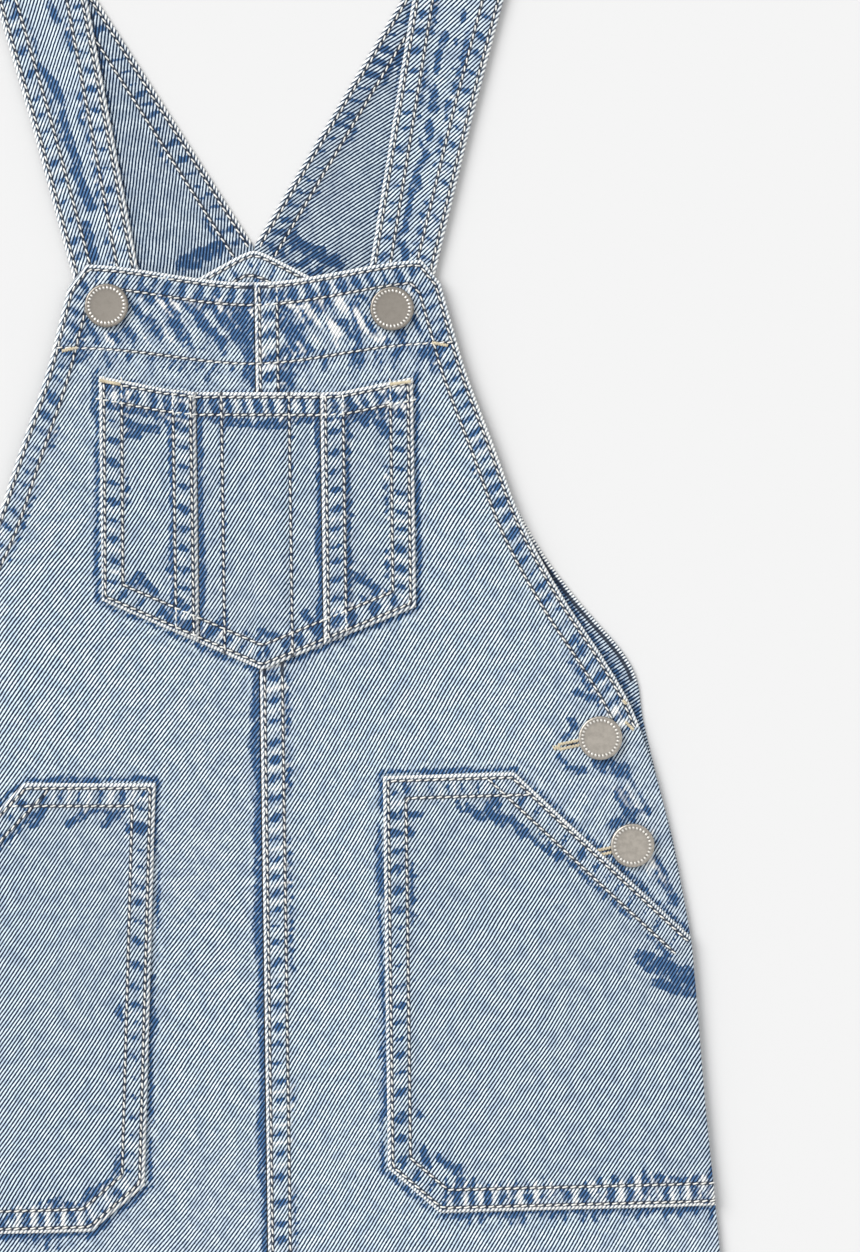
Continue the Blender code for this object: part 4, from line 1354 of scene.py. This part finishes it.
class SHORTALLS_OT_backs(bpy.types.Operator):
    """Make both backs with the lower halves of their straps, flat on the table"""
    bl_idname = "shortalls.backs"
    bl_label = "Backs"

    def execute(self, context):
        sizes = in_millimetres(context)
        inner, _, facing = fold_line()

        def head(x):
            return inner[1] - ((x - inner[0]) * facing[0] + FOLD_RETURN + SEAM_GAP) / facing[1]

        columns = spaced(100.0, 3.0, 1.0, 10.0, 11.0)
        foot, neck = fixed_edge(HEM), fixed_edge(V_POINT)
        low_x, low_y = sheet_points(inseam, back_side, foot, neck, columns,
                                    spaced(473.0, 3.4, 1.0, 3.0, 0.0))
        high_x, high_y = sheet_points(neck_edge, back_side, neck, head, columns,
                                      spaced(116.0, 1.6, 1.0, 0.0, 3.0))
        across = np.concatenate([low_x[:-3], high_x[3:]])
        y = np.concatenate([low_y[:-3], high_y[3:]])
        for name, side in SIDES.items():
            x = side * across
            add_cloth(f"back_{name}", "back_cloth", with_height(x, y, sizes.cloth / 2),
                      sizes.cloth, back_fields(x, y, side, sizes), sizes)
        return {"FINISHED"}


class SHORTALLS_OT_neck_facing(bpy.types.Operator):
    """Make the low piece with a blunt point inside the point of the V"""
    bl_idname = "shortalls.neck_facing"
    bl_label = "Neck facing"

    def execute(self, context):
        sizes = in_millimetres(context)
        share = spaced(2.0 * FACING_HALF, 0.8, 0.6, 2.0, 2.0) * 2.0 - 1.0
        bow = np.sqrt(np.clip(1.0 - share**2, 0.03, 1.0))
        low, high = FACING_FOOT + FACING_FOOT_ARC * (1.0 - bow), facing_top(share * FACING_HALF)
        rows = spaced(29.0, 0.8, 0.6, 1.0, 10.0)[:, None]
        y = low + rows * (high - low)
        x = share * FACING_HALF + 0 * y
        centre = with_height(x, y, sizes.cloth + SEAM_GAP + FACING_WALL / 2)
        add_cloth("neck_facing", "facing_cloth", centre, FACING_WALL,
                  facing_fields(x, y, sizes), sizes)
        return {"FINISHED"}


class SHORTALLS_OT_straps(bpy.types.Operator):
    """Make the front straps: a run in front, a half turn at the shoulder, a short run underneath"""
    bl_idname = "shortalls.straps"
    bl_label = "Straps"

    def execute(self, context):
        sizes = in_millimetres(context)
        inner, outer, facing = fold_line()
        columns = spaced(32.0, 0.9, 0.7, 9.5, 9.5)[:, None]
        fold = inner + columns * (outer - inner)
        runs, heights = [], []
        for share in spaced(166.0, 1.1, 0.8, 2.0, 0.0)[:-4]:
            start, end = (edge[0] + share * (edge[-1] - edge[0]) for edge in strap_edges())
            for point, edge in zip((start, end), strap_edges()):
                point[0] = np.interp(point[1], edge[:, 1], edge[:, 0])
            runs.append(start + columns * (end - start))
            heights.append(STRAP_REST + STRAP_WALL / 2)
        middle = STRAP_WALL / 2 + FOLD_RADIUS
        for angle in np.linspace(math.pi / 2, -math.pi / 2, 13):
            runs.append(fold + FOLD_RADIUS * math.cos(angle) * facing)
            heights.append(middle + FOLD_RADIUS * math.sin(angle))
        inner_way = np.array([V_SLOPE, 1.0]) / math.hypot(V_SLOPE, 1.0)
        way = inner_way + columns * (facing - inner_way)
        for share in (0.15, 0.3, 0.45, 0.6, 0.75, 0.9, 0.96, 0.99, 1.0):
            runs.append(fold - share * FOLD_RETURN * way / (way @ facing)[:, None])
            heights.append(STRAP_WALL / 2)
        plan, heights = np.array(runs), np.array(heights)[:, None]
        for name, side in SIDES.items():
            x, y = side * plan[..., 0], plan[..., 1]
            fields = strap_fields(x, y, side, sizes)
            fields["rise"] = np.where(heights < middle, 0.0, fields["rise"])
            add_cloth(f"strap_{name}", "strap_cloth", with_height(x, y, heights),
                      STRAP_WALL, fields, sizes)
        return {"FINISHED"}


class SHORTALLS_OT_fronts(bpy.types.Operator):
    """Make both fronts, each with its half of the bib and its leg"""
    bl_idname = "shortalls.fronts"
    bl_label = "Fronts"

    def execute(self, context):
        sizes = in_millimetres(context)
        across, y = sheet_points(inseam, front_side, fixed_edge(HEM), bib_top,
                                 spaced(105.0, 1.4, 0.8, 12.0, 14.0),
                                 spaced(460.0, 1.4, 0.9, 3.0, 14.0))
        for name, side in SIDES.items():
            x = side * across
            centre = with_height(x, y, front_under(x, y) + sizes.cloth / 2)
            add_cloth(f"front_{name}", "front_cloth", centre, sizes.cloth,
                      front_fields(x, y, side, sizes),
                      sizes)
        return {"FINISHED"}


class SHORTALLS_OT_bib_pocket(bpy.types.Operator):
    """Make the bib pocket's three pieces, the side ones lapped over the middle"""
    bl_idname = "shortalls.bib_pocket"
    bl_label = "Bib pocket"

    def execute(self, context):
        sizes = in_millimetres(context)
        left, right = BIB_SEAMS
        spans = {"left": (BIB_MOUTH["across"][0], left),
                 "middle": (left + SEAM_GAP, right - SEAM_GAP),
                 "right": (right, BIB_MOUTH["across"][-1])}
        for name, (start, end) in spans.items():
            x, y = sheet_points(fixed_edge(start), fixed_edge(end), bib_foot, bib_mouth,
                                spaced(end - start, 0.9, 0.8, 10.0, 10.0),
                                spaced(100.0, 0.9, 0.9, 10.0, 10.0))
            centre = with_height(x, y, on_front(x, y, sizes) + sizes.cloth / 2)
            add_cloth(f"bib_pocket_{name}", "pocket_cloth", centre, sizes.cloth,
                      bib_pocket_fields(x, y, name, sizes),
                      sizes)
        return {"FINISHED"}


def hip_outline(name):
    """Inner edge of a hip pocket, and its foot and mouth carried on in their slopes past its
    outer end."""
    (foot_end, foot_corner, foot_start, mouth_start, mouth_corner, mouth_end) = hip_path(name)

    def edge(start, corner, end):
        far_x = 210.0
        slope = (end[1] - corner[1]) / (end[0] - corner[0])
        far_y = corner[1] + slope * (far_x - corner[0])
        return lambda x: np.interp(x, (start[0], corner[0], far_x), (start[1], corner[1], far_y))

    def inner(y):
        return np.interp(y, (foot_start[1], mouth_start[1]), (foot_start[0], mouth_start[0]))

    return (inner, edge(foot_start, foot_corner, foot_end),
            edge(mouth_start, mouth_corner, mouth_end))


class SHORTALLS_OT_hip_pockets(bpy.types.Operator):
    """Make the two hip pockets with their slanted mouths"""
    bl_idname = "shortalls.hip_pockets"
    bl_label = "Hip pockets"

    def execute(self, context):
        sizes = in_millimetres(context)
        for name, side in SIDES.items():
            inner, foot, mouth = hip_outline(name)
            x, y = sheet_points(inner, front_side, foot, mouth,
                                spaced(125.0, 1.5, 0.9, 11.0, 2.0),
                                spaced(150.0, 1.4, 0.9, 11.0, 11.0))
            x = side * x
            centre = with_height(x, y, on_front(x, y, sizes) + sizes.cloth / 2)
            add_cloth(f"hip_pocket_{name}", "pocket_cloth", centre, sizes.cloth,
                      hip_fields(x, y, side, sizes), sizes)
        return {"FINISHED"}


class SHORTALLS_OT_buttons(bpy.types.Operator):
    """Make the shank buttons, each with a ring of plain ticks round its face"""
    bl_idname = "shortalls.buttons"
    bl_label = "Buttons"

    def execute(self, context):
        sizes = in_millimetres(context)
        for node, x, y in zip(*BUTTONS.values()):
            low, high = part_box(node)
            under = float(front_under(np.array(x), np.array(y))) + sizes.cloth + SEAM_GAP
            profile = button_profile(sizes.button / 2, high.z / MM - under, under - low.z / MM)
            points, faces, ticks, ring = turned(profile)
            # Painted dimmer reflection: the bib buttons' whole face is darkened
            shade = np.full(len(ring), float(node.startswith("bib")))
            piece = put_mesh(f"{node}_metal", points + (x, y, under), faces,
                             values={"tick": ticks, "ring": ring, "shade": shade})
            piece.data.materials.append(material("nickel_face"))
            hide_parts(node)
            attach(piece, "root")
        return {"FINISHED"}


def button_profile(radius, height, shank):
    """Half section of a button, from the middle of its face to the foot of its shank: dished face,
    an edge that is half a circle, underside and shank."""
    face = [(across, height - depth) for across, depth in zip(*BUTTON_FACE.values())]
    turn = np.linspace(0.0, math.pi, 9)
    edge = path_of(radius - BUTTON_EDGE + BUTTON_EDGE * np.sin(turn),
                   height - 0.95 + BUTTON_EDGE * np.cos(turn))
    rest = [(radius - 1.6, height - 1.75), (radius - 2.2, 0.05), (2.6, 0.0), (2.0, -0.2),
            (2.0, -shank + 0.1), (1.8, -shank), (0.0, -shank)]
    return np.concatenate([face, edge, rest])


def turned(profile):
    """The profile turned about its axis. On the face, a ring carries small ticks: a raised bar on
    the first half of the steps from tick to tick."""
    angles = np.arange(BUTTON_STEPS) * 2 * math.pi / BUTTON_STEPS
    r, z = profile[1:-1, 0], profile[1:-1, 1]
    ticks = (np.mod(np.arange(BUTTON_STEPS), TICK_STEPS) < TICK_STEPS / 2).astype(float)
    on_face = z > 0.5 * z.max()
    raised = np.outer(bell(r - TICK_RING, TICK_HALF) * on_face, ticks)
    band = (bell(r - TICK_RING, RING_HALF) * on_face)[:, None] * (1 - raised)
    rings = np.stack([r[:, None] * np.cos(angles), r[:, None] * np.sin(angles),
                      z[:, None] + TICK_RISE * raised], axis=-1).reshape(-1, 3)
    points = np.concatenate([rings, [[0, 0, profile[0, 1]], [0, 0, profile[-1, 1]]]])
    shares = [np.concatenate([share.ravel(), [0.0, 0.0]]) for share in (raised, band)]
    ids = np.arange(len(rings)).reshape(len(r), BUTTON_STEPS)
    around = np.roll(ids, -1, axis=1)
    sides = np.stack([ids[:-1], ids[1:], around[1:], around[:-1]], axis=-1).reshape(-1, 4)
    ends = np.arange(0, BUTTON_STEPS, 2)[:, None] + np.arange(3)
    top, bottom = np.full((len(ends), 1), len(rings)), np.full((len(ends), 1), len(rings) + 1)
    cap = np.hstack([top, ids[0][ends % BUTTON_STEPS]])
    foot = np.hstack([bottom, ids[-1][ends[:, ::-1] % BUTTON_STEPS]])
    return points, np.concatenate([sides, cap, foot]), *shares


class SHORTALLS_OT_buttonholes(bpy.types.Operator):
    """Work the buttonholes of the side openings in cream thread"""
    bl_idname = "shortalls.buttonholes"
    bl_label = "Buttonholes"

    def execute(self, context):
        face = partial(front_top, sizes=in_millimetres(context))
        tacks = []
        for start, end in slits():
            way = (end - start) / np.hypot(*(end - start))
            for aside in (-0.95, 0.95):
                beside = aside * np.array([-way[1], way[0]])
                tacks.append(bar_tack(start + way * 1.5 + beside, end + beside, 1.3, face,
                                      pitch=0.55))
            tacks.append(bar_tack(start - way * 0.6, start + way * 2.0, 2.3,
                                  lambda x, y: face(x, y) + 0.1))
        tacked_piece("buttonhole_stitches", tacks, BUTTONHOLE_THREAD)
        return {"FINISHED"}


def front_rows(sizes):
    """Rows on the fronts: round the bib and down its sides, on the centre seam, across the bib."""
    gaps = (sizes.near_row, sizes.far_row)
    paths = []
    for side in SIDES.values():
        for gap in gaps:
            path = offset(armhole_path(), -gap)
            path = path[(path[:, 0] > 0.2) | (np.arange(len(path)) > 3)]
            paths.append(mirrored(path, side))
    for gap in gaps:
        paths += [[(gap, low), (gap, high)]
                  for low, high in ((CROTCH + 1.0, 7.0), (117.0, BIB_DIP - 1.5))]
    face = partial(front_top, sizes=sizes)
    return [*(laid_on(path, face, ROW_LIFT) for path in paths),
            laid_on(bib_row(), face, BIB_ROW_LIFT)]


def hip_pocket_rows(sizes):
    """Two rows round each hip pocket, and the crossing of its second rows."""
    rows = []
    for name, side in SIDES.items():
        def face(x, y, side=side):
            return on_front(x, y, sizes) + sizes.cloth + hip_fields(x, y, side, sizes)["rise"]

        for gap in (sizes.near_row, sizes.far_row):
            rows.append(laid_on(mirrored(offset(hip_path(name), -gap), side), face, ROW_LIFT))
        crossing = mirrored(hip_crossing(name, sizes), side)
        rows += [laid_on(part, face, CROSSING_LIFT) for part in (crossing[:2], crossing[1:])]
    return rows


def bib_pocket_top(x, y, sizes):
    """Height of the bib pocket's face, from whichever of its three pieces lies there."""
    left, middle, right = (bib_pocket_fields(x, y, piece, sizes)["rise"]
                           for piece in ("left", "middle", "right"))
    rise = np.where(x < BIB_SEAMS[0], left, np.where(x > BIB_SEAMS[1], right, middle))
    return on_front(x, y, sizes) + sizes.cloth + rise


def bib_pocket_rows(sizes):
    """Two rows round the bib pocket, two on each felled seam, and the pen rows."""
    paths = []
    for gap in (sizes.near_row, sizes.far_row):
        paths += [offset(bib_pocket_edge(), gap), offset(bib_pocket_mouth(), -gap)]
        paths += [upright(BIB_SEAMS[0] - gap), upright(BIB_SEAMS[1] + gap)]
    paths += [upright(x) for x in PEN_ROWS]
    return [laid_on(path, partial(bib_pocket_top, sizes=sizes), ROW_LIFT) for path in paths]


def upright(x):
    """A line up the bib pocket, from just over its foot to just under its mouth."""
    return [(x, bib_foot(x) + 1), (x, bib_mouth(x) - 1)]


def strap_rows(sizes):
    """Two rows along both edges of each strap and along the neck, and those of the neck facing."""
    inner, outer = strap_edges()
    neck = np.array([(0.3, V_POINT), (neck_edge(288.0), 288.0)])
    rows = []
    for side in SIDES.values():
        def on_strap(x, y, side=side):
            return STRAP_REST + STRAP_WALL + strap_fields(x, y, side, sizes)["rise"]

        def on_back(x, y, side=side):
            return sizes.cloth + back_fields(x, y, side, sizes)["rise"]

        for gap in (sizes.near_row, sizes.strap_far_row):
            rows += [laid_on(mirrored(path, side), on_strap, FLAT_ROW_LIFT)
                     for path in (offset(inner, -gap), offset(outer, gap))]
        for gap in (sizes.near_row, sizes.far_row):
            path = offset(neck, -gap)
            rows.append(laid_on(mirrored(path[path[:, 0] > 0], side), on_back, FLAT_ROW_LIFT))

    def on_facing(x, y):
        return sizes.cloth + SEAM_GAP + FACING_WALL + facing_fields(x, y, sizes)["rise"]

    for path in (offset(facing_path()[2:-2], -sizes.near_row), FACING_ARC):
        rows.append(laid_on(path, on_facing, FLAT_ROW_LIFT))
    return rows


class SHORTALLS_OT_stitching(bpy.types.Operator):
    """Sew every row of topstitching, and the bar tacks"""
    bl_idname = "shortalls.stitching"
    bl_label = "Topstitching"

    def execute(self, context):
        sizes = in_millimetres(context)
        for name, rows, slot in (("front_topstitching", front_rows, "denim"),
                                 ("hip_pocket_topstitching", hip_pocket_rows, "pocket_denim"),
                                 ("bib_pocket_topstitching", bib_pocket_rows, "pocket_denim"),
                                 ("strap_topstitching", strap_rows, "strap_denim")):
            sewing_piece(name, stitches(rows(sizes), sizes), "topstitch_thread")
        face, pocket = (partial(top, sizes=sizes) for top in (front_top, bib_pocket_top))
        tacks = [bar_tack(ends[:2], ends[2:], 1.4, pocket)
                 for ends in zip(*BIB_POCKET_TACKS.values())]
        for side in SIDES.values():
            for from_x, from_y, to_x, to_y in zip(*FRONT_TACKS.values()):
                tacks.append(bar_tack((side * from_x, from_y), (side * to_x, to_y), 1.3, face))
        tacked_piece("bar_tacks", tacks, TACK_THREAD)
        return {"FINISHED"}


class SHORTALLS_OT_stage(bpy.types.Operator):
    """Set the table, the lights and the camera straight above the garment"""
    bl_idname = "shortalls.stage"
    bl_label = "Stage"

    def execute(self, context):
        scene = context.scene
        stage, colours = scene.shortalls_stage, scene.shortalls_colours
        bpy.ops.mesh.primitive_plane_add(size=TABLE_SIZE,
                                         location=(0.0, 0.0, -TABLE_DROP))
        table = context.object
        table.name = "table"
        paper, *_ = new_material("table_paper", Base_Color=(*colours.table, 1.0), Roughness=0.95,
                                 Specular_IOR_Level=0.1)
        table.data.materials.append(paper)

        scene.world = bpy.data.worlds.new("studio")
        scene.world.use_nodes = True
        background = scene.world.node_tree.nodes["Background"]
        background.inputs["Color"].default_value = (1.0, 1.0, 1.0, 1.0)
        background.inputs["Strength"].default_value = stage.fill

        key = bpy.data.lights.new("key", "SUN")
        key.energy, key.angle = stage.key, math.radians(KEY_SPREAD)
        lamp = bpy.data.objects.new("key", key)
        lamp.rotation_euler = [math.radians(angle) for angle in KEY_TURN]
        scene.collection.objects.link(lamp)

        camera = bpy.data.cameras.new("camera")
        camera.lens, camera.sensor_width = stage.lens, SENSOR
        camera.clip_start, camera.clip_end = 0.05, 20.0
        holder = bpy.data.objects.new("camera", camera)
        holder.location = VIEW_PLACE
        holder.location.z += stage.lens / SENSOR * stage.view_height
        holder.rotation_euler = (0.0, 0.0, VIEW_TURN)
        scene.collection.objects.link(holder)
        scene.camera = holder
        scene.view_settings.view_transform = "Standard"
        return {"FINISHED"}


class SHORTALLS_PT_panel(bpy.types.Panel):
    """The garment's sizes, colours and pieces"""
    bl_idname = "SHORTALLS_PT_panel"
    bl_label = "Shortalls"
    bl_space_type = "VIEW_3D"
    bl_region_type = "UI"
    bl_category = "Shortalls"

    def draw(self, context):
        for name, group in GROUPS.items():
            box = self.layout.box()
            for key in group.__annotations__:
                box.prop(getattr(context.scene, name), key)
        for operator in OPERATORS:
            self.layout.operator(operator.bl_idname)


OPERATORS = (SHORTALLS_OT_stage, SHORTALLS_OT_backs, SHORTALLS_OT_neck_facing,
             SHORTALLS_OT_straps, SHORTALLS_OT_fronts, SHORTALLS_OT_bib_pocket,
             SHORTALLS_OT_hip_pockets, SHORTALLS_OT_buttons, SHORTALLS_OT_buttonholes,
             SHORTALLS_OT_stitching)
GROUPS = {"shortalls_sizes": ShortallsSizes, "shortalls_colours": ShortallsColours,
          "shortalls_stage": ShortallsStage}


def register():
    """Make the classes known, and hang the sizes, colours and stage on the scene."""
    for made in (*GROUPS.values(), *OPERATORS, SHORTALLS_PT_panel):
        bpy.utils.register_class(made)
    for name, group in GROUPS.items():
        setattr(bpy.types.Scene, name, bpy.props.PointerProperty(type=group))


def unregister():
    """Undo what register did."""
    for name in GROUPS:
        delattr(bpy.types.Scene, name)
    for made in reversed((*GROUPS.values(), *OPERATORS, SHORTALLS_PT_panel)):
        bpy.utils.unregister_class(made)


def main():
    """Build everything in order."""
    register()
    for operator in OPERATORS:
        group, name = operator.bl_idname.split(".")
        getattr(getattr(bpy.ops, group), name)()


if __name__ == "__main__":
    main()
